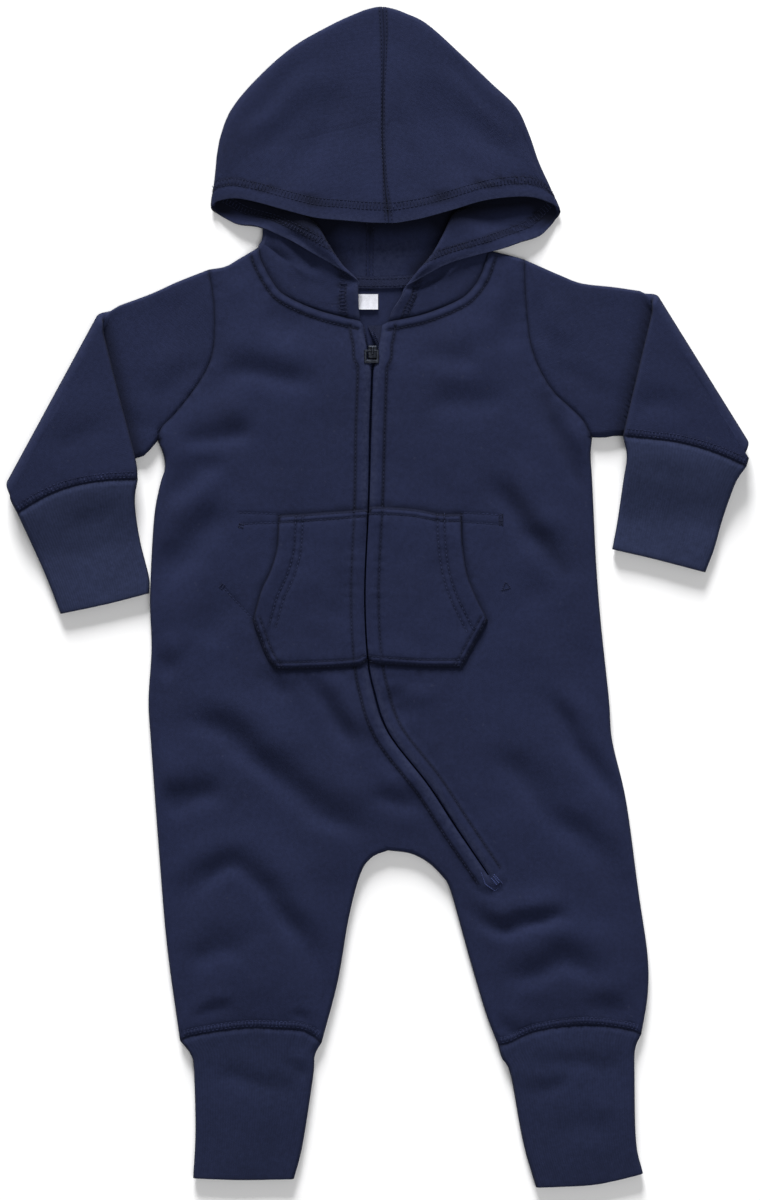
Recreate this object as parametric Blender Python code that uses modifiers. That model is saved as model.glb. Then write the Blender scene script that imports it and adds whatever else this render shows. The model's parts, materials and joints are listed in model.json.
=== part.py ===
"""Baby's hooded zip all-in-one in navy sweatshirt fleece, laid flat and face up.

Sizes are in millimetres and become metres when a mesh is made. X runs to the wearer's left,
Y from the feet to the hood and Z up from the surface that the garment lies on. The origin is
under the middle of the garment. "right" and "left" are the wearer's.

Every piece of cloth is a wall: a list of points on its outer face, the matching points on its
inner face, and a rim that joins the two round its edges. Pieces that are sewn together read the
same seam line and stop half a seam gap either side of it.
"""

import math

import bpy
import numpy as np
from mathutils.geometry import delaunay_2d_cdt

MM = 0.001

# The cloth
CLOTH = 2.0              # thickness of the fleece
TAPE = 1.0               # thickness of the zip tapes, the neck tape and the label
SEAM_GAP = 0.3           # clear space between two pieces at a seam
EDGE_HEIGHT = 6.0        # height of the two layers where they are folded or sewn together
PUFF = 1.6               # how much higher the front lies away from its edges
PUFF_REACH = 20.0        # distance from an edge at which most of that height is reached
BAND_RISE = 0.8          # extra height of the turned and topstitched bands
ZIP_BAND = 8.8           # width of the band each side of the zip
NECK_BAND = 6.5          # width of the band below the hood
MOUTH_LIFT = 1.2         # how far a pocket's mouth stands off the front
MOUTH_REACH = 9.0        # and how far into the pocket that reaches
MOUTH_ENDS = 18.0        # length over which that lift fades to nothing at the mouth's two ends
ROLL = EDGE_HEIGHT / 2   # outer radius of a folded edge

# How finely the pieces are divided
STEP = 15.0              # spacing of points in a panel and along its outline
BACK_STEP = 2.2 * STEP   # spacing of points in the back, which lies flat
POCKET_STEP = 0.8 * STEP
SLIT_CELLS = 34          # along each edge of the zip's slit
APART = 0.6              # least distance between two points of the rows in a panel
OFF_OUTLINE = 0.35       # least distance of those points from the panel's outline
ROLL_TURNS = (0.0, 45.0, 90.0)   # angles of the points round a folded edge, in degrees

NAVY = (0.0212, 0.0262, 0.0578)
NAVY_DARK = (0.0160, 0.0194, 0.0460)
LABEL_WHITE = (0.76, 0.77, 0.82)
ZIP_NAVY = (0.0130, 0.0160, 0.0340)
METAL = (0.0450, 0.0500, 0.0620)

# Outline of the body, each stretch from one corner to the next with the cloth on its left.
# Columns: x, y
NECK_RIGHT = [(-11.5, 179), (-39, 186), (-60, 195.5), (-68, 204), (-75.5, 218), (-77.5, 227)]
NECK_LEFT = [(72, 225), (69.5, 217), (66.5, 208.5), (61, 200), (52, 192.5), (30, 183.5), (6.5, 178.5)]
NECK_BACK_RIGHT = [(-5.5, 199), (-15.5, 199.5), (-36.5, 202), (-56, 208), (-70, 218), (-77.5, 227)]
NECK_BACK_LEFT = [(72, 225), (58, 214), (40.5, 205), (21, 200), (-5.5, 199)]
SHOULDER_RIGHT = [(-77.5, 227), (-91, 219), (-99, 214.5), (-110, 212.5)]
SHOULDER_LEFT = [(95, 219), (86.5, 221.5), (72, 225)]
ARMHOLE_RIGHT = [(-110, 212.5), (-107, 195.5), (-106, 179), (-107, 160.5), (-112, 146), (-123, 129.5),
                 (-133, 117.5), (-140.5, 110), (-143, 101.5)]
ARMHOLE_LEFT = [(139, 103.5), (133, 114.5), (124, 123.5), (114.5, 132.5), (106, 145.5), (100, 160.5),
                (97.5, 175.5), (95.5, 199), (95, 219)]
SIDE_RIGHT = [(-143, 101.5), (-139, 91.5), (-138.5, 82.5), (-141.5, 73), (-145.5, 50), (-148, 0),
              (-147, -33), (-149, -67), (-147.5, -93), (-142.5, -161), (-137, -226), (-128.5, -288)]
SIDE_LEFT = [(171, -283.5), (175, -258.5), (175, -232.5), (169, -190.5), (161, -132), (152, -93),
             (150, -67), (144.5, -15), (141.5, 24), (139, 76), (138, 91.5), (139, 103.5)]
LEG_SEAM_RIGHT = [(-128.5, -288), (-119, -284.5), (-88, -280), (-65, -280), (-48, -281.5), (-36.5, -289)]
LEG_SEAM_LEFT = [(78, -291), (86, -289), (102.5, -282), (132, -277.5), (158.5, -280), (171, -283.5)]
INSEAM_RIGHT = [(-36.5, -289), (-26, -249), (-19, -208.5), (-11.5, -180), (-4, -169), (6.5, -164.5)]
INSEAM_LEFT = [(6.5, -164.5), (21, -166.5), (32, -172), (41, -180.5), (47, -190.5), (58, -229.5),
               (69.5, -268.5), (78, -291)]

# Line of the zip from the neck to its lower end. Columns: x, y, half width of the slit
ZIP_LINE = [(-3.5, 176.2, 6.2), (-3.5, 168, 5.2), (-3.5, 163, 4.0), (-3.5, 154.5, 3.6), (-3.6, 149, 0.9),
            (-3.8, 143, 0.4), (-5, 108.5, 0.4), (-6, 63, 0.4), (-8.5, 3, 0.4), (-6.5, -41, 0.4),
            (-2, -63.5, 0.4), (3, -80, 0.4), (11.5, -95, 0.4), (32.5, -121.5, 0.4), (50.5, -149, 0.4),
            (71.5, -180, 0.4)]

# The zip's tapes: how far the near edge stands from the zip's line. Columns: y, distance
TAPE_EDGE = [(-190, 0.4), (150.5, 0.4), (153, 3.3), (164, 3.3), (180, 3.5)]
TAPE_WIDTH = 12.0        # from the zip's line to the far edge
TAPE_BEYOND = 5.0        # length past the lower end of the slit
TAPE_DROP = 0.7          # clear space under the front
TAPE_START = (0, 6, 12, 23.2, 25.7, 31)     # places of the first points along the tape
TAPE_CELLS = 24          # from there on

# The slider with its bail, and the pull tab that swings on the bail
SLIDER_X = -3.5
SLIDER_Y = (154.5, 163.0)
SLIDER_Z = (3.4, 6.6)
SLIDER_HALF = 3.0        # half the slider's width
BAIL_Y = (156.8, 162.0)
BAIL_TOP = 11.2
BAIL_HALF = 0.8          # half the bail's width
BAIL_BAR = 1.0           # thickness of the bail above and at the ends of its window
BAIL_FOOT = 0.4          # height of the window's lower edge above the slider's plate
SUNK = 1.0               # how far the bail's foot goes into the plate
BEYOND = 2.0             # how far a shape that cuts a window stands past what it cuts
HINGE = (159.4, 9.3)     # y and z of the hinge line
BAR = 1.1                # thickness of the hinge bar
PULL_X = -4.2
PULL_WIDTH = 9.4
PULL_LENGTH = 8.6
PULL_THICK = 1.1
PULL_WINDOW = (6.2, 5.4)

NECK_TAPE_X = (-60.0, 55.0)
NECK_TAPE_AWAY = (1.3, 9.0)      # from the back neck seam to the tape's two edges
NECK_TAPE_CELLS = 16
LABEL_X, LABEL_Y = (-13.0, 0.0), (186.6, 196.6)

# The largest folds of the front. Columns: start, middle and end of the fold, half width, height
FOLDS = [
    ((-128, -78), (-66, -112), (-8, -154), 10.0, -1.5),
    ((-134, -96), (-80, -132), (-30, -160), 11.0, 1.8),
    ((-47, -50), (-31, -74), (-14, -92), 6.0, -1.2),
    ((-36, -44), (-20, -66), (-2, -84), 6.0, 1.0),
    ((-140, -130), (-117, -126), (-95, -130), 8.0, -1.2),
    ((-132, -203), (-112, -186), (-94, -176), 9.0, -1.2),
    ((-94, -176), (-62, -202), (-36, -246), 9.0, -1.4),
    ((-112, -206), (-92, -196), (-72, -218), 10.0, 1.6),
    ((57, -198), (82, -215), (146, -203), 6.5, -1.4),
    ((66, -184), (96, -198), (142, -190), 9.0, 1.5),
    ((84, -250), (120, -239), (154, -248), 8.0, -1.1),
    ((112, -78), (142, -104), (160, -136), 9.0, -1.5),
    ((96, -90), (128, -118), (150, -150), 9.0, 1.4),
    ((71, 73), (104, 40), (126, 10), 10.0, -1.1),
    ((-66, 60), (-104, 44), (-140, 18), 9.0, -1.2),
    ((-128, 103), (-100, 108), (-71, 102), 7.0, -1.1),
    ((-98, 150), (-66, 152), (-34, 134), 8.0, -1.0),
    ((26, 131), (52, 126), (78, 124), 7.0, -0.9),
]

# Pocket halves: the mouth from the top down, then the slanted lower edge. Columns: x, y
POCKET_RIGHT = {
    "top": [(-6.6, 57), (-40, 54.5), (-64, 53)],
    "mouth": [(-64, 53), (-64.5, 43.5), (-65.5, 30.5), (-69.5, 17), (-75.5, 4), (-81, -15)],
    "slant": [(-81, -15), (-73, -36.5), (-66.5, -47)],
    "bottom": [(-66.5, -47), (-51.5, -47), (-15, -45), (-6.7, -42)],
}
POCKET_LEFT = {
    "top": [(-5.8, 58.5), (4, 58.5), (24, 57), (40.5, 54), (54, 54)],
    "mouth": [(54, 54), (54.5, 36.5), (57, 18), (62, 3), (71, -15)],
    "slant": [(71, -15), (63, -30), (54.5, -45.5)],
    "bottom": [(54.5, -45.5), (30, -45.5), (4.5, -44), (-5.8, -43)],
}

# Sleeves, folded back over themselves at the elbow. The fold runs from its top end to its lower end;
# beyond it the forearm lies on the upper arm and its upper edge becomes the inner edge.
SLEEVES = {
    "right": {
        "top": [(-110, 212.5), (-131.5, 204), (-148, 196.5), (-181, 184.5)],
        "under": [(-143, 101.5), (-149.5, 94), (-157, 90), (-197, 82), (-241.5, 73)],
        "inner": [(-181, 184.5), (-168, 132), (-157, 89.5), (-155.5, 76)],
        "outer": [(-241.5, 73), (-238, 63), (-233.5, 54)],
        "cuff_seam": [(-155.5, 76), (-175.5, 75), (-196.5, 71.5), (-214.5, 65), (-233.5, 54)],
        "cuff_inner": [(-155.5, 76), (-157.5, 61), (-154.5, 37), (-148.6, 13), (-148.4, 2.5)],
        "cuff_outer": [(-233.5, 54), (-223, 30.5), (-214.5, 11), (-206, -11)],
        "hem": [(-148.4, 2.5), (-175.5, -4.5), (-206, -11)],
    },
    "left": {
        "top": [(95, 219), (119, 208.5), (132.5, 203.5), (154, 201), (180.5, 197)],
        "under": [(139, 103.5), (147.5, 103.5), (158, 104.5), (199.5, 102), (241, 99.5)],
        "inner": [(180.5, 197), (168.5, 147), (158.5, 104)],
        "outer": [(241, 99.5), (240.5, 91.5), (238.5, 84.5)],
        "cuff_seam": [(158.5, 104), (177, 102), (195.5, 99.5), (217, 93.5), (238.5, 84.5)],
        "cuff_inner": [(158.5, 104), (161, 91), (159, 76), (155.5, 50), (152, 31)],
        "cuff_outer": [(238.5, 84.5), (231.5, 73.5), (223.5, 50), (218.5, 32), (212.5, 16)],
        "hem": [(152, 31), (180, 24.5), (212.5, 16)],
    },
}
FOREARM_START = 10.0     # how far past the upper arm the forearm starts to come down from it
FOREARM_DROP = 24.0      # length over which it comes down
BEND_CLEAR = 12.0        # distance from the bend over which it starts to come down
CUFF_SIDE = {"right": -1, "left": 1}     # side of the cuff seam's line on which the forearm lies

# Hood halves, laid flat with the crown at the top. Each row is a section through the cloth's middle,
# from the crown seam on the table, round the fold at the side, up to the crest where the face edge
# turns back, and on to the free edge. The first section is the neck seam and the last the top seam.
CROWN_SEAM = [(-5.5, 199), (-5.5, 210), (-5, 240), (-3, 290), (0, 340), (3, 383)]
TOP_SEAM = [(2.9, 380, 1), (3, 381.7, 1.3), (3, 382.9, 3), (3, 381.7, 4.7), (3.2, 379.5, 5.2),
            (4, 372, 5.7), (4, 353, 6.4), (3, 318.5, 6.8), (3, 290.5, 7.8), (4.5, 266.5, 9.4), (7, 242, 10.8)]
TOP_SEAM_TURN = (1.6, 8.0)       # places along that line where it starts and ends its turn at the crown
TOP_SEAM_CREST = (60.0, 54.0)    # how far from its end the crest starts and ends
# Columns: y on the crown seam; side fold x, y, how far it is turned (1 is all the way) and the height
# above it; crest x, y, turned, heights before and after it; free edge x, y, height
HOOD_BELOW_CORNER = {
    "right": [
        (205, (-77, 229, 1, 5), (-26, 190, 0, 5.2, 5.4), (-12.5, 188, 5.8)),
        (210, (-76, 230.5, 1, 5), (-20, 199, 0, 5.2, 6.2), (-12.8, 197, 6.8)),
        (215, (-75.5, 232, 1, 5), (-14.4, 205, 0, 5.4, 6.6), (-13.2, 204.2, 7.4)),
        (221, (-75, 235, 1, 5), (-23, 216, 1, 5.4, 8.8), (-28.5, 214.8, 8.6)),
        (230, (-75, 238, 1, 5), (-32, 229, 1, 5.4, 9), (-42, 222.5, 8.4)),
        (240, (-74.5, 241, 1, 5), (-39, 241.5, 1, 5.4, 9), (-56, 230.5, 8.2)),
        (250, (-66, 248, 1, 5), (-50, 250, 1, 5, 8.6), (-69.5, 237, 7.6)),
        (262, (-52, 259, 0, 1), (-62, 254, 0, 2.4, 3.4), (-79.5, 240.5, 5.6)),
        (270, (-70, 266, 0, 1), (-80, 257, 0, 1.2, 1.8), (-91, 242, 3.4)),
        (277, (-88, 272, 0, 1), (-96, 258, 0, 1, 1.2), (-101, 247, 1.6)),
    ],
    "left": [
        (205, (72.5, 227.5, 1, 5), (24, 190, 0, 5.2, 5.4), (9.5, 186, 5.8)),
        (210, (72, 229, 1, 5), (22, 197.5, 0, 5.2, 6.2), (14.8, 194, 6.8)),
        (215, (71.5, 230.5, 1, 5), (19.2, 201.5, 0, 5.4, 6.6), (18, 200.4, 7.4)),
        (221, (71, 233, 1, 5), (25, 211, 1, 5.4, 8.8), (31, 208.4, 8.6)),
        (230, (70, 236.5, 1, 5), (35, 222.5, 1, 5.4, 9), (46, 216.2, 8.4)),
        (240, (68, 241, 1, 5), (42.5, 237, 1, 5.4, 9), (66, 222, 8.2)),
        (250, (61.5, 248, 1, 5), (48.5, 249, 1, 5, 8.6), (80, 225.5, 7.6)),
        (262, (50, 259, 0, 1), (62, 253, 0, 2.4, 3.4), (93, 230.3, 5.6)),
        (270, (74, 267, 0, 1), (88, 254, 0, 1.2, 1.8), (105, 234.5, 3.4)),
        (277, (94, 271, 0, 1), (105, 258, 0, 1, 1.2), (112.5, 241.5, 1.6)),
    ],
}
# The corner of the face opening: the side fold's last stretch, down to the free edge, and the free
# edge's points from the lower layer round the fold to the upper one
HOOD_CORNER = {
    "right": {
        "fold": [(-104.6, 288), (-106, 273), (-108, 258), (-108.5, 252)],
        "edge": [(-105, 249.5, 1), (-106.6, 250.8, 1.6), (-107.4, 252.6, 3), (-106.2, 255, 4.4),
                 (-104, 256.8, 5)],
    },
    "left": {
        "fold": [(102.6, 287), (106.5, 277.5), (111, 268), (115.5, 258), (119, 250)],
        "edge": [(115.4, 245.5, 1), (117, 247.6, 1.6), (117.6, 249.8, 3), (116, 252.6, 4.4), (113, 255, 5)],
    },
}
CORNER_CROWN = (281, 284, 287, 290, 293)     # y on the crown seam of the corner's sections
CORNER_LEAVE = 14.0      # place along the fold where the first of them leaves it
CORNER_STEP = 3.5        # and how much sooner each next one does
CORNER_TURN = 4.0        # length over which a section turns on to the fold
HOOD_ABOVE_CORNER = {
    "right": [
        (298, (-102, 300, 1, 5.4), (-95, 278, 0, 6.4, 6.8), (-93, 258.3, 7.6)),
        (304, (-95.5, 316, 1, 6), (-84, 288, 0, 6.7, 7.1), (-80, 256, 9.2)),
        (313, (-80, 335, 1, 6.2), (-62, 295, 0, 6.9, 7.4), (-60, 250.3, 11)),
        (325, (-56, 356.5, 1, 6.2), (-42, 300, 0, 6.9, 7.5), (-40, 245.2, 11.6)),
        (340, (-30, 371.5, 1, 6), (-22, 305, 0, 6.9, 7.6), (-22, 243.5, 11.4)),
        (356, (-11, 380.5, 1, 5.4), (-8, 308, 0, 6.9, 7.6), (-6, 242.2, 11)),
        (370, (-2.5, 383, 1, 5), (-1, 310, 0, 6.9, 7.6), (1.5, 242, 10.9)),
    ],
    "left": [
        (298, (97.5, 302, 1, 5.4), (98, 280, 0, 6.4, 6.8), (101, 258.8, 7.6)),
        (304, (90, 317.5, 1, 6), (86, 288, 0, 6.7, 7.1), (87, 259, 9.2)),
        (313, (74, 333, 1, 6.2), (70, 295, 0, 6.9, 7.4), (68, 256.3, 11)),
        (325, (53, 353, 1, 6.2), (50, 300, 0, 6.9, 7.5), (47, 250, 11.6)),
        (340, (31, 372.5, 1, 6), (28, 305, 0, 6.9, 7.6), (28, 244.8, 11.4)),
        (356, (15, 380.5, 1, 5.4), (15, 308, 0, 6.9, 7.6), (17, 242.8, 11)),
        (370, (7.5, 382.8, 1, 5), (9, 310, 0, 6.9, 7.6), (11.5, 242, 10.9)),
    ],
}
# Where the folds press the cloth thinner. Columns: first and last section, first and last column,
# thickness
HOOD_PRESSED = [(3, 4, 13, 20, 1.3), (6, 8, 5, 18, 1.1), (21, 22, 4, 10, 1.3)]
# The sections of the finished mesh, counted in the sections above and closer where the cloth bends
HOOD_PLACES = [0, 1, 2, 3, 3.5, 4, 5, 6, 6.5, 7, 7.25, 7.5, 7.75, 8, 9, 10, 11, 12, 13, 14, 15, 16,
               17, 17.5, 18, 18.5, 19, 19.5, 20, 21, 22, 23]

LEG_CUFFS = {
    "right": {
        "seam": LEG_SEAM_RIGHT,
        "first": [(-128.5, -288), (-121.5, -297), (-119.5, -307.5), (-118.5, -346.5), (-120, -377)],
        "second": [(-36.5, -289), (-41, -297.5), (-42, -310.5), (-49, -356), (-54.5, -377.5)],
        "hem": [(-120, -377), (-88, -378), (-54.5, -377.5)],
    },
    "left": {
        "seam": LEG_SEAM_LEFT,
        "first": [(78, -291), (80.5, -299.5), (86, -310), (94, -353), (102.5, -383)],
        "second": [(171, -283.5), (167, -293), (166.5, -307.5), (167.5, -353), (172, -374)],
        "hem": [(102.5, -383), (136.5, -381.5), (154, -378.5), (172, -374)],
    },
}


# ---------------------------------------------------------------- lines in the plan

def smooth_line(points):
    """A fine smooth line through the points, straight where there are only two."""
    p = np.array(points, float)
    if len(p) < 3:
        return p
    ends = np.vstack([2 * p[0] - p[1], p, 2 * p[-1] - p[-2]])
    t = np.linspace(0, 1, 9)[:-1, None]
    spans = [0.5 * (2 * b + (c - a) * t + (2 * a - 5 * b + 4 * c - d) * t**2 + (3 * b - a - 3 * c + d) * t**3)
             for a, b, c, d in zip(ends, ends[1:], ends[2:], ends[3:])]
    return np.vstack(spans + [p[-1:]])


def lengths(line):
    return np.concatenate([[0], np.cumsum(np.linalg.norm(np.diff(line, axis=0), axis=1))])


def along(line, distances):
    """The points of a line at these distances from its start."""
    run = lengths(line)
    return np.column_stack([np.interp(distances, run, line[:, k]) for k in range(line.shape[1])])


def spaced(line, cells):
    """Points along a line in equal cells."""
    return along(line, np.linspace(0.0, lengths(line)[-1], cells + 1))


def cells_for(line, step=STEP):
    return max(1, round(lengths(line)[-1] / step))


def offset(line, distance):
    """The line moved to its left by this distance."""
    run = np.gradient(line, axis=0)
    run /= np.linalg.norm(run, axis=1)[:, None]
    return line + distance * np.column_stack([-run[:, 1], run[:, 0]])


def nearest(points, line):
    """For each point, the nearest point of the line."""
    a, b = line[:-1], line[1:]
    ab = b - a
    t = np.einsum("ijk,jk->ij", points[:, None] - a, ab) / np.maximum((ab**2).sum(1), 1e-12)
    foot = a + np.clip(t, 0, 1)[..., None] * ab
    best = np.linalg.norm(points[:, None] - foot, axis=2).argmin(1)
    return foot[np.arange(len(points)), best]


def distance_to(points, lines):
    return np.min([np.linalg.norm(points - nearest(points, line), axis=1) for line in lines], axis=0)


def inside(points, loop):
    x, y = points[:, 0][:, None], points[:, 1][:, None]
    a, b = loop, np.roll(loop, -1, axis=0)
    crosses = (a[:, 1] > y) != (b[:, 1] > y)
    rise = np.where(a[:, 1] == b[:, 1], 1.0, b[:, 1] - a[:, 1])
    return (crosses & (x < (b[:, 0] - a[:, 0]) * (y - a[:, 1]) / rise + a[:, 0])).sum(1) % 2 == 1


def ease(t):
    t = np.clip(t, 0, 1)
    return t * t * (3 - 2 * t)


# ---------------------------------------------------------------- making solids

def new_object(name, vertices, faces, colour, roughness=0.95, metallic=0.0):
    mesh = bpy.data.meshes.new(name)
    mesh.from_pydata((np.asarray(vertices, float) * MM).tolist(), [], faces)
    mesh.update()
    return finish(bpy.data.objects.new(name, mesh), colour, roughness, metallic)


def finish(obj, colour, roughness=0.95, metallic=0.0):
    """Puts the object in the garment's collection with a material of its own."""
    material = bpy.data.materials.new(obj.name)
    material.use_nodes = True
    shader = material.node_tree.nodes["Principled BSDF"]
    shader.inputs["Base Color"].default_value = (*colour, 1.0)
    shader.inputs["Roughness"].default_value = roughness
    shader.inputs["Metallic"].default_value = metallic
    obj.data.materials.clear()
    obj.data.materials.append(material)
    if obj.name not in garment.objects:
        garment.objects.link(obj)
    return obj


def wall(name, outer, inner, faces, colour):
    """A sheet with thickness: outer and inner points, the polygons of one face, and a rim round its edges."""
    count = len(outer)
    edges = {(face[k - 1], face[k]) for face in faces for k in range(len(face))}
    rim = [(a, b) for a, b in sorted(edges) if (b, a) not in edges]
    solid = [list(face) for face in faces]
    solid += [[count + k for k in reversed(face)] for face in faces]
    solid += [[b, a, count + a, count + b] for a, b in rim]
    points = np.vstack([outer, inner])
    if signed_volume(points, solid) < 0:
        solid = [face[::-1] for face in solid]
    return new_object(name, points, solid, colour)


def signed_volume(points, faces):
    return sum(np.dot(points[face[0]], np.cross(points[face[k]], points[face[k + 1]]))
               for face in faces for k in range(1, len(face) - 1))


def grid_faces(rows, columns, closed=False):
    """Quads of a grid of points stored row after row; a closed grid's columns come round again."""
    return [[r * columns + c, r * columns + (c + 1) % columns,
             (r + 1) * columns + (c + 1) % columns, (r + 1) * columns + c]
            for r in range(rows - 1) for c in range(columns if closed else columns - 1)]


def triangulate(loop, extra, lines=()):
    """Delaunay triangles of the points inside a closed outline; its own points come first.

    lines are rows of points among them that the triangles' edges must follow.
    """
    points = np.vstack([loop, extra])
    edges = [(k, (k + 1) % len(loop)) for k in range(len(loop))]
    for line in lines:
        at = np.linalg.norm(points[:, None] - line, axis=2).argmin(0)
        edges += [(int(a), int(b)) for a, b in zip(at, at[1:]) if a != b]
    made = delaunay_2d_cdt(points.tolist(), edges, [], 0, 1e-6, True)
    order = [source[0] if source else -1 for source in made[3]]
    if len(order) != len(points) or -1 in order:
        crossed = [tuple(made[0][k]) for k, source in enumerate(order) if source < 0][:4]
        lost = points[sorted(set(range(len(points))) - set(order))][:4]
        raise ValueError(f"lines cross near {crossed}, or points coincide near {lost}")
    faces = np.array([[order[k] for k in face] for face in made[2]])
    return points, faces[inside(points[faces].mean(axis=1), loop)].tolist()


def filling(loop, step, rows=(), clear=0.6):
    """Points that fill an outline: the given rows, then a staggered grid that keeps off them."""
    low, high = loop.min(0), loop.max(0)
    pitch = step * math.sqrt(3) / 2
    grid = np.array([(x + (k % 2) * step / 2, y)
                     for k, y in enumerate(np.arange(low[1] + pitch / 2, high[1], pitch))
                     for x in np.arange(low[0], high[0], step)])
    kept = np.vstack(rows) if rows else np.empty((0, 2))
    if len(kept):
        kept = kept[inside(kept, loop)]
        kept = kept[distance_to(kept, [np.vstack([loop, loop[:1]])]) > OFF_OUTLINE]
        gap = np.linalg.norm(kept[:, None] - kept, axis=2) + np.triu(np.full((len(kept),) * 2, 1e3))
        kept = kept[gap.min(1) > APART]
        near = np.linalg.norm(grid[:, None] - kept, axis=2).min(1) < clear * step
        grid = grid[~near]
    grid = grid[inside(grid, loop)]
    grid = grid[distance_to(grid, [np.vstack([loop, loop[:1]])]) > clear * step]
    return np.vstack([kept, grid])


# ---------------------------------------------------------------- the body's outline and heights

class Stretch:
    """One stretch of the body's outline: its smooth line, and the places that pieces share along it.

    At an end that meets a folded edge, places says where the points stand while the cloth is flat,
    and outer and inner say where the two faces of the rolled edge cross the seam.
    """

    def __init__(self, points, cells=None, before=None, after=None):
        self.line = smooth_line(points)
        total = lengths(self.line)[-1]
        turn = np.radians(ROLL_TURNS[:-1])
        near = {"plain": ROLL * turn / (math.pi / 2), "outer": ROLL * (1 - np.cos(turn)),
                "inner": ROLL - (ROLL - CLOTH) * np.cos(turn)}
        reach = [ROLL / self.slant(edge) if edge else 0.0 for edge in (before, after)]
        middle = np.linspace(reach[0], total - reach[1], (cells or cells_for(self.line)) + 1)
        self.places = {}
        for face, at in near.items():
            start = at * reach[0] / ROLL if before else []
            end = total - at[::-1] * reach[1] / ROLL if after else []
            self.places[face] = np.concatenate([start, middle, end])
        self.turns = np.concatenate([turn if before else [], np.full(len(middle), math.pi / 2),
                                     turn[::-1] if after else []])
        self.points = along(self.line, self.places["plain"])

    def slant(self, edge):
        """Sine of the angle at which this stretch meets a folded edge."""
        other = np.array(edge, float)
        if np.allclose(other[-1], self.line[0]) or np.allclose(other[-1], self.line[-1]):
            other = other[::-1]
        mine = self.line if np.allclose(other[0], self.line[0]) else self.line[::-1]
        a, b = mine[2] - mine[0], other[1] - other[0]
        return abs(a[0] * b[1] - a[1] * b[0]) / np.linalg.norm(a) / np.linalg.norm(b)

    def beside(self, sign, face="plain"):
        """The shared points of one face, moved half a seam gap into the body (1) or the next piece (-1)."""
        line = offset(self.line, sign * SEAM_GAP / 2)
        return along(line, self.places[face] * lengths(line)[-1] / lengths(self.line)[-1])

    def body_side(self):
        return self.beside(1)


HOOD_FLOOR_CELLS = 5     # from the hood's centre seam to its side fold
HOOD_SIDE_CELLS = 4      # from the side fold to the crest
HOOD_FACE_CELLS = 3      # from the crest to the free edge
ROLL_CELLS = 4           # round a fold of the hood
SLEEVE_CELLS = 6         # across a sleeve
CUFF_CELLS = 6           # across a leg cuff

neck_cells = HOOD_SIDE_CELLS + ROLL_CELLS + HOOD_FACE_CELLS
BODY = {
    "neck_right": Stretch(NECK_RIGHT, neck_cells, after=SHOULDER_RIGHT),
    "neck_left": Stretch(NECK_LEFT, neck_cells, before=SHOULDER_LEFT),
    "neck_back_right": Stretch(NECK_BACK_RIGHT, HOOD_FLOOR_CELLS, after=SHOULDER_RIGHT),
    "neck_back_left": Stretch(NECK_BACK_LEFT, HOOD_FLOOR_CELLS, before=SHOULDER_LEFT),
    "shoulder_right": Stretch(SHOULDER_RIGHT),
    "shoulder_left": Stretch(SHOULDER_LEFT),
    "armhole_right": Stretch(ARMHOLE_RIGHT, SLEEVE_CELLS, SHOULDER_RIGHT, SIDE_RIGHT),
    "armhole_left": Stretch(ARMHOLE_LEFT, SLEEVE_CELLS, SIDE_LEFT, SHOULDER_LEFT),
    "side_right": Stretch(SIDE_RIGHT),
    "side_left": Stretch(SIDE_LEFT),
    "leg_seam_right": Stretch(LEG_SEAM_RIGHT, CUFF_CELLS, SIDE_RIGHT, INSEAM_RIGHT),
    "leg_seam_left": Stretch(LEG_SEAM_LEFT, CUFF_CELLS, INSEAM_LEFT, SIDE_LEFT),
    "inseam_right": Stretch(INSEAM_RIGHT),
    "inseam_left": Stretch(INSEAM_LEFT),
}
SEAMS = [key for key in BODY if key.startswith(("neck", "armhole", "leg_seam"))]
FOLDED_EDGES = [BODY[key].line for key in ("shoulder_right", "shoulder_left", "side_right", "side_left")]
FOLDED_EDGES.append(np.vstack([BODY["inseam_right"].line, BODY["inseam_left"].line[1:]]))
FRONT_EDGES = FOLDED_EDGES + [BODY[key].line for key in (
    "armhole_right", "armhole_left", "leg_seam_right", "leg_seam_left", "neck_right", "neck_left")]

zip_line = smooth_line([row[:2] for row in ZIP_LINE])
zip_half = smooth_line([(row[2], 0) for row in ZIP_LINE])[:, 0]


def slit_edge(side, extra=0.0):
    """One edge of the zip's slit, from the neck down, moved out by an extra distance."""
    run = np.gradient(zip_line, axis=0)
    run /= np.linalg.norm(run, axis=1)[:, None]
    normal = np.column_stack([-run[:, 1], run[:, 0]])
    return zip_line + normal * (side * (np.maximum(zip_half, 0.4) + extra))[:, None]


SLIT = {"right": slit_edge(-1), "left": slit_edge(1)}


def fold_height(points, folds):
    """Sum of the folds: each a soft ridge or trough along a curve through its three points."""
    total = np.zeros(len(points))
    for start, middle, end, width, height in folds:
        line = smooth_line([start, middle, end])
        run = lengths(line)
        foot = nearest(points, line)
        away = np.linalg.norm(points - foot, axis=1)
        place = np.linalg.norm(foot - line[0], axis=1) / max(run[-1], 1e-6)
        taper = ease(place * 4) * ease((1 - place) * 4)
        total += height * np.exp(-(away / width) ** 2) * (0.25 + 0.75 * taper) * (away < 3 * width)
    return total


def body_top(points):
    """Height of the front's outer face, without its bands."""
    reach = distance_to(points, FRONT_EDGES)
    soft = 1 - np.exp(-(reach / PUFF_REACH) ** 2)
    return EDGE_HEIGHT + PUFF * soft + fold_height(points, FOLDS) * ease(reach / 16)


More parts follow.
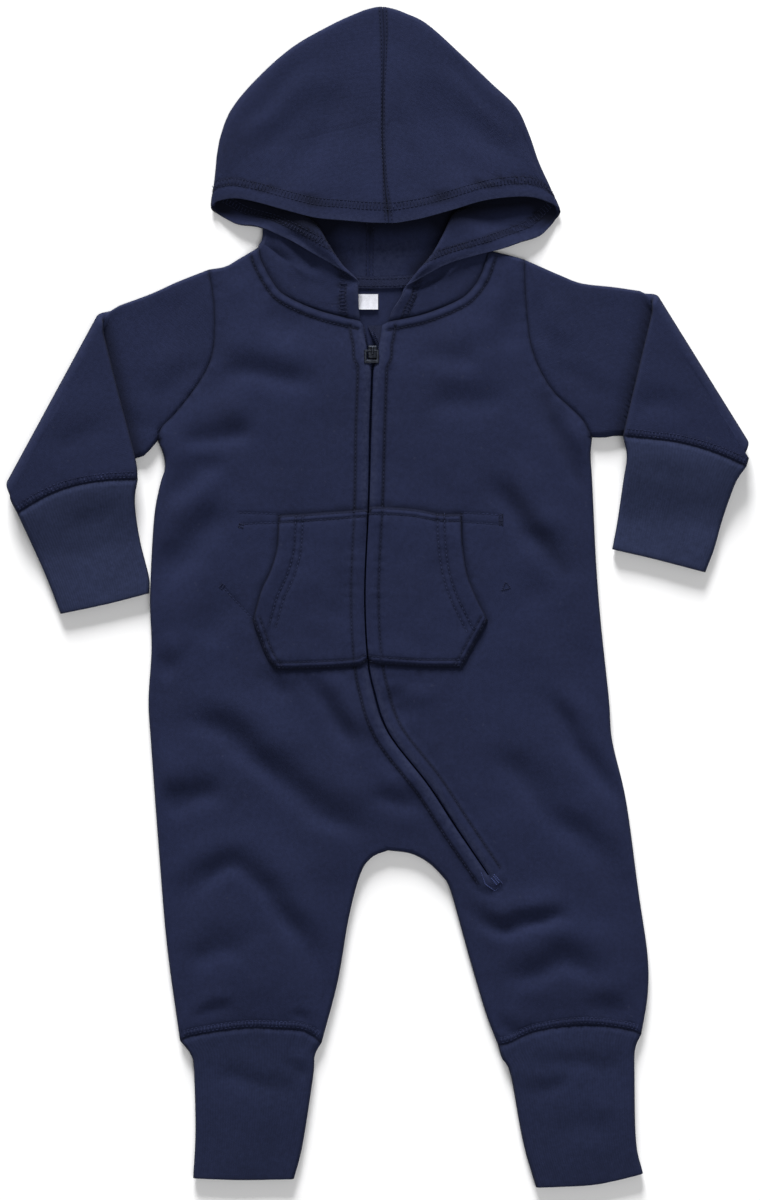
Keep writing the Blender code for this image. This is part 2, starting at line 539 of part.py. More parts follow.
def bands(points):
    """Extra height of the zip band and the neck band, as a share of the full rise."""
    zip_away = distance_to(points, [SLIT["right"], SLIT["left"]])
    neck_away = distance_to(points, [BODY["neck_right"].line, BODY["neck_left"].line])
    return np.maximum(ease((ZIP_BAND + 0.5 - zip_away) / 1.0), ease((NECK_BAND + 0.5 - neck_away) / 1.0))


def roll_over(points, top, bottom, folded):
    """Outer and inner points of a layer whose folded edges turn down to the middle of the edge height.

    top and bottom are the heights of the layer's two faces away from its edges; the layer that lies
    on the table has its outer face below, and its edges turn up instead.
    """
    foot = np.empty_like(points)
    away = np.full(len(points), np.inf)
    for line in folded:
        near = nearest(points, line)
        far = np.linalg.norm(points - near, axis=1)
        closer = far < away
        foot[closer], away[closer] = near[closer], far[closer]
    inward = (points - foot) / np.maximum(away, 1e-9)[:, None]
    edge = away < ROLL - 1e-6
    on_edge = away < 1e-6
    if on_edge.any():
        inward[on_edge] = edge_normals(points[on_edge], folded)
    turn = np.where(edge, np.clip(away / ROLL, 0, 1), 1.0) * math.pi / 2
    out_at = ROLL * (1 - np.cos(turn))
    in_at = ROLL - (ROLL - CLOTH) * np.cos(turn)
    sign = 1 if top[0] > ROLL else -1
    half = SEAM_GAP / 2 * sign
    middle = ROLL + half
    out_face, in_face = (top, bottom) if sign > 0 else (bottom, top)
    place = np.where(edge[:, None], foot, points)
    outer = np.column_stack([place + inward * np.where(edge, out_at, 0)[:, None],
                             middle + (out_face - middle) * np.sin(turn)])
    inner = np.column_stack([place + inward * np.where(edge, in_at, 0)[:, None],
                             middle + (in_face - middle) * np.sin(turn)])
    for key in SEAMS:
        seam = BODY[key]
        gap = np.linalg.norm(points[:, None] - seam.body_side(), axis=2)
        at, where = np.nonzero(gap < 1e-6)
        turn = seam.turns[where]
        outer_z = middle + (out_face[at] - middle) * np.sin(turn)
        inner_z = middle + (in_face[at] - middle) * np.sin(turn)
        outer[at] = np.column_stack([seam.beside(1, "outer")[where], outer_z])
        inner[at] = np.column_stack([seam.beside(1, "inner")[where], inner_z])
    return outer, inner


def edge_normals(points, folded):
    """Directions into the cloth at points on a folded edge; every folded edge has the cloth on its left."""
    found = np.zeros_like(points)
    for line in folded:
        run = np.gradient(line, axis=0)
        run /= np.linalg.norm(run, axis=1)[:, None]
        normal = np.column_stack([-run[:, 1], run[:, 0]])
        gap = np.linalg.norm(points[:, None] - line, axis=2)
        best = gap.argmin(1)
        on = np.linalg.norm(points - nearest(points, line), axis=1) < 1e-6
        found[on] += normal[best[on]]
    return found / np.maximum(np.linalg.norm(found, axis=1), 1e-9)[:, None]


def lower_outline():
    """The outline from the right shoulder, round both legs, to the left shoulder, without the necks' ends."""
    b = BODY
    return np.vstack([
        b["shoulder_right"].points[1:-1], b["armhole_right"].body_side(), b["side_right"].points[1:-1],
        b["leg_seam_right"].body_side(), b["inseam_right"].points[1:-1], b["inseam_left"].points[:-1],
        b["leg_seam_left"].body_side(), b["side_left"].points[1:-1], b["armhole_left"].body_side(),
        b["shoulder_left"].points[1:-1]])


def ring_rows(folded):
    """Rows of points just inside the folded edges, where the cloth turns."""
    rows = []
    for line in folded:
        for turn in ROLL_TURNS[1:]:
            rows.append(offset(spaced(line, cells_for(line)), ROLL * turn / 90))
    return rows


def make_back():
    neck = [BODY["neck_back_left"].body_side()[:-1], BODY["neck_back_right"].body_side()]
    loop = np.vstack([*neck, lower_outline()])
    points, faces = triangulate(loop, filling(loop, BACK_STEP, ring_rows(FOLDED_EDGES), clear=0.4))
    upper = np.full(len(points), CLOTH)
    outer, inner = roll_over(points, upper, np.zeros(len(points)), FOLDED_EDGES)
    wall("back", outer, inner, faces, NAVY)


def front_faces(points):
    """Outer and inner height of the front over plain points, away from its folded edges."""
    top = body_top(points)
    return top + BAND_RISE * bands(points), top - CLOTH


def pocket_outline(shape, slit):
    """A pocket half's closed outline; its straight side follows the slit's own points."""
    top, mouth, slant, bottom = (smooth_line(shape[key]) for key in ("top", "mouth", "slant", "bottom"))
    side = slit[(slit[:, 1] < top[0, 1] + 1) & (slit[:, 1] > bottom[-1, 1] - 1)]
    ends = [np.vstack([side[:1], top[1:]]), mouth, slant, np.vstack([bottom[:-1], side[-1:]])]
    points = [spaced(line, cells_for(line, POCKET_STEP))[:-1] for line in ends]
    return np.vstack(points + [side[::-1][:-1]]), np.vstack([np.vstack(points), side[-1:]])


def make_front_and_pockets():
    slit = {side: spaced(SLIT[side], SLIT_CELLS) for side in SLIT}
    loop = np.vstack([
        BODY["neck_right"].body_side(), lower_outline(), BODY["neck_left"].body_side(),
        slit["left"], slit["right"][::-1]])
    rows = []
    pockets = {}
    for side, shape in (("right", POCKET_RIGHT), ("left", POCKET_LEFT)):
        pockets[side], open_sides = pocket_outline(shape, slit[side])
        rows.append(open_sides[1:-1])
    lines = []
    for outline in pockets.values():
        corner = loop[np.linalg.norm(loop - outline[0], axis=1).argmin()]
        lines.append(np.vstack([corner, outline[1:], corner]))
    rows += ring_rows(FOLDED_EDGES)
    for side, sign in (("right", -1), ("left", 1)):
        for away in (ZIP_BAND - 0.5, ZIP_BAND + 0.6):
            rows.append(spaced(slit_edge(sign, away), SLIT_CELLS))
        for away in (NECK_BAND - 0.5, NECK_BAND + 0.6):
            rows.append(offset(spaced(BODY[f"neck_{side}"].line, neck_cells), away))
    points, faces = triangulate(loop, filling(loop, STEP, rows, clear=0.55), lines)
    top, low = front_faces(points)
    outer, inner = roll_over(points, top, low, FOLDED_EDGES)
    wall("front", outer, inner, faces, NAVY)

    middles = points[np.array(faces)].mean(axis=1)
    for side, outline in pockets.items():
        under = np.array(faces)[inside(middles, outline)]
        used, numbered = np.unique(under, return_inverse=True)
        mouth = smooth_line((POCKET_RIGHT if side == "right" else POCKET_LEFT)["mouth"])
        lift = MOUTH_LIFT * np.exp(-(distance_to(points[used], [mouth]) / MOUTH_REACH) ** 2)
        ends = np.min([np.linalg.norm(points[used] - end, axis=1) for end in mouth[[0, -1]]], axis=0)
        rise = np.column_stack([np.zeros((len(used), 2)), SEAM_GAP + lift * ease(ends / MOUTH_ENDS)])
        thick = np.array([0, 0, CLOTH])
        wall(f"pocket_{side}", outer[used] + rise + thick, outer[used] + rise,
             numbered.reshape(under.shape).tolist(), NAVY)


# ---------------------------------------------------------------- sleeves and cuffs

def joined(start, line, end):
    """A line from start to end that follows the given line in between."""
    near = [np.linalg.norm(line - point, axis=1).argmin() for point in (start, end)]
    run = lengths(line)
    kept = (run > run[near[0]] + 2) & (run < run[near[1]] - 2)
    return np.vstack([start, line[kept], end])


def patch(start, end, side_a, side_b, rows):
    """Lines across a four-sided piece of cloth, from its start to its end.

    Each line is bent between the shapes of start and end, and its ends run along the two sides.
    """
    a = np.linspace(0, 1, 65)[:, None]
    start, end = (along(line, a[:, 0] * lengths(line)[-1]) for line in (start, end))
    side_a = joined(start[0], side_a, end[0])
    side_b = joined(start[-1], side_b, end[-1])
    lines = []
    for s in rows:
        at_a, at_b = (along(line, [s * lengths(line)[-1]])[0] for line in (side_a, side_b))
        across = (1 - s) * start + s * end
        straight = (1 - a) * across[0] + a * across[-1]
        lines.append(across - straight + (1 - a) * at_a + a * at_b)
    return lines


def even_places(total, cells):
    """Places of the outer and the inner face's points across a flattened tube."""
    turns = np.radians(ROLL_TURNS[:-1])
    middle = np.linspace(ROLL, total - ROLL, cells + 1)
    ends = (ROLL * (1 - np.cos(turns)), ROLL - (ROLL - CLOTH) * np.cos(turns))
    return [np.concatenate([at, middle, total - at[::-1]]) for at in ends]


def ring(line, cells, seam=None, share=0.0):
    """Outer and inner points round a flattened tube at one line across it: over the top, then back below.

    Near a seam with the body the points keep to the places that the body has, by the given share.
    """
    total = lengths(line)[-1]
    turns = np.radians(ROLL_TURNS[:-1])
    lift = np.concatenate([np.sin(turns), np.ones(cells + 1), np.sin(turns[::-1])])
    made = []
    for face, even, radius in zip(("outer", "inner"), even_places(total, cells), (ROLL, ROLL - CLOTH)):
        if seam is not None:
            even = (1 - share) * even + share * seam[face] * total
        plan = along(line, even)
        layers = [np.column_stack([plan, ROLL + sign * radius * lift]) for sign in (1, -1)]
        made.append(np.vstack([layers[0], layers[1][-2:0:-1]]))
    return made


def shares(stretch, turned=False):
    """Where a seam's shared points stand, as shares of its length, from either end."""
    total = lengths(stretch.line)[-1]
    found = {face: places / total for face, places in stretch.places.items()}
    return {face: 1 - places[::-1] for face, places in found.items()} if turned else found


def tube(name, rings, colour):
    """A tube of cloth from rings of outer and inner points."""
    outer = np.vstack([pair[0] for pair in rings])
    inner = np.vstack([pair[1] for pair in rings])
    wall(name, outer, inner, grid_faces(len(rings), len(rings[0][0]), closed=True), colour)


def forearm_lift(points, shape):
    """How far the forearm lies above the table: as high as the upper arm that it lies on, then down to it."""
    fold = np.array([shape["top"][-1], shape["under"][-1]], float)
    under = np.array([shape["under"][2], shape["under"][-1]], float)
    below = distance_past(points, under, (0, -1))
    past_bend = distance_past(points, fold, fold[0] * (-1, 0)) - EDGE_HEIGHT
    down = ease((below - FOREARM_START) / FOREARM_DROP) * ease(past_bend / BEND_CLEAR)
    return (EDGE_HEIGHT + SEAM_GAP) * (1 - down)


def distance_past(points, line, towards):
    """Distance of points past a straight line, on the side that the vector towards points to."""
    run = (line[1] - line[0]) / np.linalg.norm(line[1] - line[0])
    normal = np.array([-run[1], run[0]])
    normal *= np.sign(normal @ np.array(towards, float))
    return (points[:, :2] - line[0]) @ normal


def make_sleeve(side, armhole, cells=SLEEVE_CELLS, upper_rows=4, bend_rows=4, lower_rows=5):
    """A sleeve folded back on itself: the upper arm on the table, the bend, then the forearm on top."""
    shape = {key: smooth_line(points) for key, points in SLEEVES[side].items()}
    top_end, low_end = shape["top"][-1], shape["under"][-1]
    fold_run = (low_end - top_end) / np.linalg.norm(low_end - top_end)
    outward = np.array([fold_run[1], -fold_run[0]])
    upper_run = top_end - shape["top"][-3]
    lower_run = low_end - shape["under"][-3]
    axis = upper_run / np.linalg.norm(upper_run) + lower_run / np.linalg.norm(lower_run)
    outward *= np.sign(outward @ axis)
    slide = axis / (axis @ outward)
    centre = EDGE_HEIGHT + SEAM_GAP / 2
    half_bend = math.pi / 2 * (centre - EDGE_HEIGHT / 2)
    back = outward * (centre - half_bend)
    fold = np.array([top_end, low_end]) - back

    start = offset(armhole.line, -SEAM_GAP / 2)
    seam = shares(armhole, turned=side == "left")
    if side == "left":
        start = start[::-1]
    steps = np.linspace(0, 1, upper_rows + 1)[:-1]
    rings = [ring(line, cells, seam, 1 - step) for step, line in zip(steps, patch(
        start, fold - half_bend * slide, shape["top"], shape["under"], steps))]
    for turn in np.linspace(0, math.pi, bend_rows + 1):
        reach = half_bend * (2 * turn / math.pi - 1)
        flat = ring(fold + reach * slide, cells)
        turned = []
        for points in flat:
            radius = centre - points[:, 2]
            plan = points[:, :2] + outward * (radius * math.sin(turn) - half_bend - reach)[:, None]
            turned.append(np.column_stack([plan, centre - radius * math.cos(turn)]))
        rings.append(turned)
    start = fold + half_bend * (slide - 2 * outward)
    seam = offset(shape["cuff_seam"], CUFF_SIDE[side] * SEAM_GAP / 2)
    for line in patch(start, seam, shape["inner"], shape["outer"], np.linspace(0, 1, lower_rows + 1)[1:]):
        turned = []
        for points in ring(line, cells):
            lift = forearm_lift(points, SLEEVES[side])
            turned.append(np.column_stack([points[:, :2], EDGE_HEIGHT - points[:, 2] + lift]))
        rings.append(turned)
    tube(f"sleeve_{side}", rings, NAVY)


def make_sleeve_cuff(side, cells=SLEEVE_CELLS, rows=5):
    shape = {key: smooth_line(points) for key, points in SLEEVES[side].items()}
    seam = offset(shape["cuff_seam"], -CUFF_SIDE[side] * SEAM_GAP / 2)
    rings = []
    steps = np.linspace(0, 1, rows + 1)
    for line in patch(seam, shape["hem"], shape["cuff_inner"], shape["cuff_outer"], steps):
        pair = ring(line, cells)
        rings.append([points + np.outer(forearm_lift(points, SLEEVES[side]), (0, 0, 1)) for points in pair])
    tube(f"sleeve_cuff_{side}", rings, NAVY)


def make_leg_cuff(side, cells=CUFF_CELLS, rows=4):
    shape = {key: smooth_line(points) for key, points in LEG_CUFFS[side].items()}
    body = BODY[f"leg_seam_{side}"]
    steps = np.linspace(0, 1, rows + 1)
    rings = [ring(line, cells, shares(body), 1 - step) for step, line in zip(steps, patch(
        offset(body.line, -SEAM_GAP / 2), shape["hem"], shape["first"], shape["second"], steps))]
    tube(f"leg_cuff_{side}", rings, NAVY_DARK)


# ---------------------------------------------------------------- hood

def towards(a, b):
    gap = b[:2] - a[:2]
    return gap / max(np.linalg.norm(gap), 1e-6)


def turned_edge(at, before, after, share, low, high, run):
    """Points round a fold whose outermost line passes through at, turned by a share of half a circle.

    run is the direction of the fold line there.
    """
    radius = max(high - low, 2) / 2
    square = np.array([-run[1], run[0]])
    square *= np.sign(square @ towards(at, before))
    points = []
    for step in np.linspace(0, 1, ROLL_CELLS + 1):
        angle = math.pi * share * step
        way = (1 - step) * towards(at, before) + step * towards(at, after)
        way = share * square + (1 - share) * way
        rise = (1 - math.cos(angle)) / 2 if share > 0 else step
        plan = at[:2] + way * (radius + CLOTH / 2 - radius * math.sin(angle))
        points.append([*plan, low + (high - low) * rise])
    return np.array(points)


def legs(crown, fold, roll, face):
    """A whole section: straight legs between the crown seam, the two folds and the free edge."""
    return np.vstack([np.linspace(crown, fold[0], HOOD_FLOOR_CELLS + 1), fold[1:],
                      np.linspace(fold[-1], roll[0], HOOD_SIDE_CELLS + 1)[1:], roll[1:],
                      np.linspace(roll[-1], face, HOOD_FACE_CELLS + 1)[1:]])


def crown_point(y):
    line = smooth_line(CROWN_SEAM)
    return np.array([np.interp(y, line[:, 1], line[:, 0]), y, CLOTH / 2])


def directions(points, turned):
    """Direction of a fold line at each of its points, from the neighbours where the cloth is folded too."""
    found = []
    for k in range(len(points)):
        low = k - 1 if k > 0 and turned[k - 1] > 0 else k
        high = k + 1 if k + 1 < len(points) and turned[k + 1] > 0 else k
        found.append(towards(points[low], points[high]) if high > low else np.array([0.0, 1.0]))
    return found


def hood_rows(table, first=(), last=()):
    """The sections of one part of the table; first and last are points of the side fold beyond its ends."""
    sides = [np.array(row[1], float) for row in table]
    crests = [np.array(row[2], float) for row in table]
    turned = [*[1] * len(first), *[side[2] for side in sides], *[1] * len(last)]
    side_run = directions([*first, *sides, *last], turned)[len(first):]
    crest_run = directions(crests, [crest[2] for crest in crests])
    rows = []
    for k, (crown_y, _, _, face) in enumerate(table):
        crown, face, side, crest = crown_point(crown_y), np.array(face), sides[k], crests[k]
        fold = turned_edge(side, crown, crest, side[2], CLOTH / 2, side[3], side_run[k])
        roll = turned_edge(crest, side, face, *crest[2:], crest_run[k])
        rows.append(legs(crown, fold, roll, face))
    return rows


def corner_rows(side):
    """Sections that leave the side fold one after another and run along it to the corner of the free edge."""
    edge = smooth_line(HOOD_CORNER[side]["fold"])
    inward = 1 if side == "right" else -1
    total = lengths(edge)[-1]
    count = HOOD_SIDE_CELLS + ROLL_CELLS + HOOD_FACE_CELLS
    radius = ROLL - CLOTH / 2
    rows = []
    for k, (crown_y, end) in enumerate(zip(CORNER_CROWN, HOOD_CORNER[side]["edge"])):
        angle = math.pi * k / ROLL_CELLS
        leaves = CORNER_LEAVE - CORNER_STEP * k
        turned = leaves + CORNER_TURN
        places = np.concatenate([leaves + np.linspace(0, CORNER_TURN, ROLL_CELLS + 1),
                                 np.linspace(turned, total, count + 1)[1:]])
        angles = np.concatenate([np.linspace(0, angle, ROLL_CELLS + 1), np.full(count, angle)])
        flat = offset(edge, inward)
        normal = np.column_stack([np.interp(places, lengths(edge), side) for side in (flat - edge).T])
        plan = along(edge, places) + normal * (ROLL - radius * np.sin(angles))[:, None]
        points = np.column_stack([plan, ROLL - radius * np.cos(angles)])
        pull = np.clip((places - turned) / (total - turned), 0, 1)[:, None]
        points += pull**2 * (np.array(end) - points[-1])
        floor = np.linspace(crown_point(crown_y), points[0], HOOD_FLOOR_CELLS + 1)[:-1]
        rows.append(np.vstack([floor, points]))
    return rows


def seam_row():
    """The last section, up the end of the crown seam and along the seam on top to the free edge."""
    line = smooth_line(TOP_SEAM)
    total = lengths(line)[-1]
    turn, turned = TOP_SEAM_TURN
    crest, crest_end = (total - place for place in TOP_SEAM_CREST)
    return along(line, np.concatenate([
        np.linspace(0, turn, HOOD_FLOOR_CELLS + 1), np.linspace(turn, turned, ROLL_CELLS + 1)[1:],
        np.linspace(turned, crest, HOOD_SIDE_CELLS + 1)[1:],
        np.linspace(crest, crest_end, ROLL_CELLS + 1)[1:],
        np.linspace(crest_end, total, HOOD_FACE_CELLS + 1)[1:]]))


def neck_row(side, face):
    """One face of the hood along the neck seam: back neck, round the shoulder, front neck."""
    back, front = BODY[f"neck_back_{side}"], BODY[f"neck_{side}"]
    direction = 1 if side == "right" else -1
    back_points, front_points = back.beside(-1, face)[::direction], front.beside(-1, face)[::-direction]
    turns = back.turns[::direction]
    radius = ROLL if face == "outer" else ROLL - CLOTH
    heights = np.concatenate([-np.sin(turns[:-1]), [0], np.sin(front.turns[::-direction][1:])])
    return np.column_stack([np.vstack([back_points, front_points[1:]]), ROLL + radius * heights])


def hood_sections(side):
    neck = (neck_row(side, "outer") + neck_row(side, "inner")) / 2
    corner = neck[HOOD_FLOOR_CELLS + ROLL_CELLS // 2]
    rows = np.array([neck, *hood_rows(HOOD_BELOW_CORNER[side], first=[corner]), *corner_rows(side),
                     *hood_rows(HOOD_ABOVE_CORNER[side], last=[np.array(TOP_SEAM[2])]), seam_row()])
    ends = np.concatenate([[2 * rows[0] - rows[1]], rows, [2 * rows[-1] - rows[-2]]])
    made = []
    for place in HOOD_PLACES:
        k = min(int(place), len(rows) - 2)
        t = place - k
        a, b, c, d = ends[k:k + 4]
        made.append(0.5 * (2 * b + (c - a) * t + (2 * a - 5 * b + 4 * c - d) * t**2
                           + (3 * b - a - 3 * c + d) * t**3))
    return np.array(made)


def corner_normals(grid):
    """Normals of a grid of points, each the mean of those of the cells round it."""
    across = grid[1:, 1:] - grid[:-1, :-1]
    cells = np.cross(across, grid[:-1, 1:] - grid[1:, :-1])
    cells /= np.maximum(np.linalg.norm(cells, axis=2), 1e-9)[..., None]
    total = np.zeros_like(grid)
    for rows in (slice(None, -1), slice(1, None)):
        for columns in (slice(None, -1), slice(1, None)):
            total[rows, columns] += cells
    return total


def make_hood(side):
    middle = hood_sections(side)
    sign = -1 if side == "right" else 1
    normal = sign * corner_normals(middle)
    seam = np.zeros(middle.shape[:2], bool)
    seam[:, 0] = seam[-1, :] = True
    run = np.gradient(np.vstack([middle[:, 0], middle[-1, 1:]]), axis=0)
    across = np.column_stack([np.zeros(len(run)), run[:, 2], -run[:, 1]])
    normal[:, 0], normal[-1] = across[:len(middle)], across[len(middle) - 1:]
    normal /= np.linalg.norm(normal, axis=2)[..., None]
    half = np.full(middle.shape[:2] + (1,), CLOTH / 2)
    for first_place, last_place, first_column, last_column, thickness in HOOD_PRESSED:
        places = [k for k, place in enumerate(HOOD_PLACES) if first_place <= place <= last_place]
        half[places[0]:places[-1] + 1, first_column:last_column + 1] = thickness / 2
    faces = {"outer": middle + normal * half, "inner": middle - normal * half}
    for face, points in faces.items():
        points[0] = neck_row(side, face)
        points[seam] += (sign * SEAM_GAP / 2, 0, 0)
    wall(f"hood_{side}", faces["outer"].reshape(-1, 3), faces["inner"].reshape(-1, 3),
         grid_faces(*middle.shape[:2]), NAVY)


# ---------------------------------------------------------------- zip, neck tape and label

def make_zip_tape(side, sign):
    """One tape of the zip, under the front's band, from the neck to just past the slit's lower end."""
    last_run = zip_line[-1] - zip_line[-2]
    line = np.vstack([zip_line, zip_line[-1] + last_run * TAPE_BEYOND / np.linalg.norm(last_run)])
    rest = np.linspace(TAPE_START[-1], lengths(line)[-1], TAPE_CELLS + 1)
    line = along(line, [*TAPE_START[:-1], *rest])
    run = np.gradient(line, axis=0)
    run /= np.linalg.norm(run, axis=1)[:, None]
    normal = sign * np.column_stack([-run[:, 1], run[:, 0]])
    near = np.interp(line[:, 1], *zip(*TAPE_EDGE))
    points = np.vstack([line + normal * (near + (TAPE_WIDTH - near) * share)[:, None]
                        for share in (0, 0.5, 1)])
    upper = np.column_stack([points, body_top(points) - CLOTH - TAPE_DROP])
    wall(f"zip_tape_{side}", upper, upper - (0, 0, TAPE), grid_faces(3, len(line)), ZIP_NAVY)


def box_object(name, low, high, colour):
    corners = [(x, y, z) for z in (low[2], high[2]) for x, y in (
        (low[0], low[1]), (high[0], low[1]), (high[0], high[1]), (low[0], high[1]))]
    faces = [(3, 2, 1, 0), (4, 5, 6, 7), (0, 1, 5, 4), (1, 2, 6, 5), (2, 3, 7, 6), (3, 0, 4, 7)]
    return new_object(name, corners, faces, colour, 0.35, 1.0)


def bevelled(obj, width, segments=2):
    """The object with its edges rounded, as a plain mesh."""
    modifier = obj.modifiers.new("edges", "BEVEL")
    modifier.width = width * MM
    modifier.segments = segments
    modifier.limit_method = "ANGLE"
    return baked(obj)


def baked(obj):
    view = bpy.context.evaluated_depsgraph_get()
    mesh = bpy.data.meshes.new_from_object(obj.evaluated_get(view))
    obj.modifiers.clear()
    old, obj.data = obj.data, mesh
    bpy.data.meshes.remove(old)
    return obj


def combined(obj, other, operation):
    """The object joined with or cut by another, which is used up."""
    modifier = obj.modifiers.new("other", "BOOLEAN")
    modifier.operation = operation
    modifier.solver = "EXACT"
    modifier.object = other
    baked(obj)
    bpy.data.objects.remove(other)
    return obj


def make_slider():
    x, (y_low, y_high), (z_low, z_high) = SLIDER_X, SLIDER_Y, SLIDER_Z
    body = box_object("zip_slider", (x - SLIDER_HALF, y_low, z_low),
                      (x + SLIDER_HALF, y_high, z_high), METAL)
    bevelled(body, 0.7)
    bail = box_object("bail", (x - BAIL_HALF, BAIL_Y[0], z_high - SUNK),
                      (x + BAIL_HALF, BAIL_Y[1], BAIL_TOP), METAL)
    bevelled(bail, 0.45, 1)
    window = box_object("window", (x - BEYOND, BAIL_Y[0] + BAIL_BAR, z_high + BAIL_FOOT),
                        (x + BEYOND, BAIL_Y[1] - BAIL_BAR, BAIL_TOP - BAIL_BAR), METAL)
    combined(body, combined(bail, window, "DIFFERENCE"), "UNION")


def make_pull():
    """The pull tab: a flat frame lying back towards the feet, its hinge bar through the bail."""
    x, y, z = PULL_X, HINGE[0], HINGE[1]
    half = PULL_WIDTH / 2
    frame = box_object("zip_pull", (x - half, y + BAR / 2 - PULL_LENGTH, z - PULL_THICK / 2),
                       (x + half, y + BAR / 2, z + PULL_THICK / 2), METAL)
    window = box_object("window", (x - PULL_WINDOW[0] / 2, y - BAR / 2 - PULL_WINDOW[1], z - BEYOND),
                        (x + PULL_WINDOW[0] / 2, y - BAR / 2, z + BEYOND), METAL)
    bevelled(combined(frame, window, "DIFFERENCE"), 0.3, 1)


def make_neck_tape():
    centre = np.vstack([BODY["neck_back_left"].line, BODY["neck_back_right"].line[1:]])
    kept = centre[(centre[:, 0] > NECK_TAPE_X[0]) & (centre[:, 0] < NECK_TAPE_X[1])]
    kept = spaced(kept, NECK_TAPE_CELLS)
    edges = [offset(kept, -away) for away in NECK_TAPE_AWAY]
    lower = np.column_stack([np.vstack(edges), np.full(2 * len(kept), CLOTH + SEAM_GAP)])
    wall("neck_tape", lower + (0, 0, TAPE), lower, grid_faces(2, len(kept)), NAVY_DARK)


def make_label():
    (x0, x1), (y0, y1) = LABEL_X, LABEL_Y
    corners = np.array([(x, y, CLOTH + SEAM_GAP) for y in (y0, y1) for x in (x0, x1)])
    wall("label", corners + (0, 0, TAPE), corners, grid_faces(2, 2), LABEL_WHITE)


# ---------------------------------------------------------------- the garment

for old in list(bpy.data.objects):
    bpy.data.objects.remove(old)
garment = bpy.data.collections.new("baby_romper")
bpy.context.scene.collection.children.link(garment)

make_back()
make_front_and_pockets()
for wearer_side in ("right", "left"):
    make_sleeve(wearer_side, BODY[f"armhole_{wearer_side}"])
    make_sleeve_cuff(wearer_side)
    make_leg_cuff(wearer_side)
    make_hood(wearer_side)
    make_zip_tape(wearer_side, -1 if wearer_side == "right" else 1)
make_slider()
make_pull()
make_neck_tape()
make_label()
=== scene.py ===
"""Baby's hooded zip all-in-one in navy sweatshirt fleece, laid flat and face up on a pale surface.

Sizes are in millimetres and become metres when a mesh is made. X runs to the wearer's left, Y from
the feet to the hood and Z up from the surface. "right" and "left" are the wearer's.
"""

import json
import math

import bpy
import numpy as np
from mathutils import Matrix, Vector, kdtree, noise
from mathutils.geometry import delaunay_2d_cdt

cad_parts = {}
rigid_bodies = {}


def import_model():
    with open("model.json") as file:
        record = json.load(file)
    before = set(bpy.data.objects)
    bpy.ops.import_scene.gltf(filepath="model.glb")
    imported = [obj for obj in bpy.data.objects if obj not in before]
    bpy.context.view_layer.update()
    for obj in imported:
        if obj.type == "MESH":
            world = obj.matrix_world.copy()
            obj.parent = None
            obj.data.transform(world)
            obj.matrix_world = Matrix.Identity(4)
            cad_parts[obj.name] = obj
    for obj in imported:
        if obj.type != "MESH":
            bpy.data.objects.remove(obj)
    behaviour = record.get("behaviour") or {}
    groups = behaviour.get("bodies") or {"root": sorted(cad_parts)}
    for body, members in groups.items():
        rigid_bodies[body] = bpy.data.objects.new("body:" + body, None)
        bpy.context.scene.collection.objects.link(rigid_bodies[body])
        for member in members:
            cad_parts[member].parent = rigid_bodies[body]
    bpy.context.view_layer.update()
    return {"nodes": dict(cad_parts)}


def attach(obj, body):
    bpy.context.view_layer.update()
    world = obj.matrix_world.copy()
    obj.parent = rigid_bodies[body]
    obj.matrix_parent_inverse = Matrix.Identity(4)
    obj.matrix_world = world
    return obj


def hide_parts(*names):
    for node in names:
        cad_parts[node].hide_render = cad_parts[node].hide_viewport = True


for old in list(bpy.data.objects):
    bpy.data.objects.remove(old)
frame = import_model()

# ---------------------------------------------------------------- the view
# The garment is seen from straight above on a plain white surface, under a soft low lamp
# beyond the hood, a weaker one overhead, and the light of a white room.

VIEW_CENTRE = (0.0013, -0.00195)
VIEW_LENGTH = 0.780           # length of the surface that the picture takes in, in metres
EYE_HEIGHT = 2.2
SENSOR = 36.0
LAMPS = {                     # place, size in metres, power in watts
    "key": ((-0.7, 6.0, 2.15), 2.2, 880),
    "fill": ((0.7, -0.7, 2.8), 2.0, 32),
}
ROOM_LIGHT = 0.24
SURFACE_REACH, SURFACE_Z = 4.0, -0.0004
SURFACE_WHITE = (0.93, 0.93, 0.935, 1.0)


def in_scene(name, data):
    """A new object in the scene."""
    made = bpy.data.objects.new(name, data)
    bpy.context.scene.collection.objects.link(made)
    return made


camera = in_scene("camera", bpy.data.cameras.new("camera"))
camera.location = (*VIEW_CENTRE, EYE_HEIGHT)
camera.data.sensor_fit = "VERTICAL"
camera.data.sensor_height = SENSOR
camera.data.lens = SENSOR * EYE_HEIGHT / VIEW_LENGTH
bpy.context.scene.camera = camera
bpy.context.scene.view_settings.view_transform = "Standard"

for name, (place, size, power) in LAMPS.items():
    lamp = in_scene(name, bpy.data.lights.new(name, "AREA"))
    lamp.data.size = size
    lamp.data.energy = power
    lamp.location = place
    lamp.rotation_euler = (-Vector(place)).to_track_quat("-Z", "Y").to_euler()

world = bpy.data.worlds.new("white room")
world.use_nodes = True
room = world.node_tree.nodes["Background"].inputs
room["Color"].default_value = (1, 1, 1, 1)
room["Strength"].default_value = ROOM_LIGHT
bpy.context.scene.world = world

surface = in_scene("surface", bpy.data.meshes.new("surface"))
low, high = -SURFACE_REACH, SURFACE_REACH
around = [(x, y, SURFACE_Z) for x, y in ((low, low), (high, low), (high, high), (low, high))]
surface.data.from_pydata(around, [], [(0, 1, 2, 3)])
surface_paint = bpy.data.materials.new("white surface")
surface_paint.use_nodes = True
paint = surface_paint.node_tree.nodes["Principled BSDF"].inputs
paint["Base Color"].default_value = SURFACE_WHITE
paint["Roughness"].default_value = 0.8
surface.data.materials.append(surface_paint)

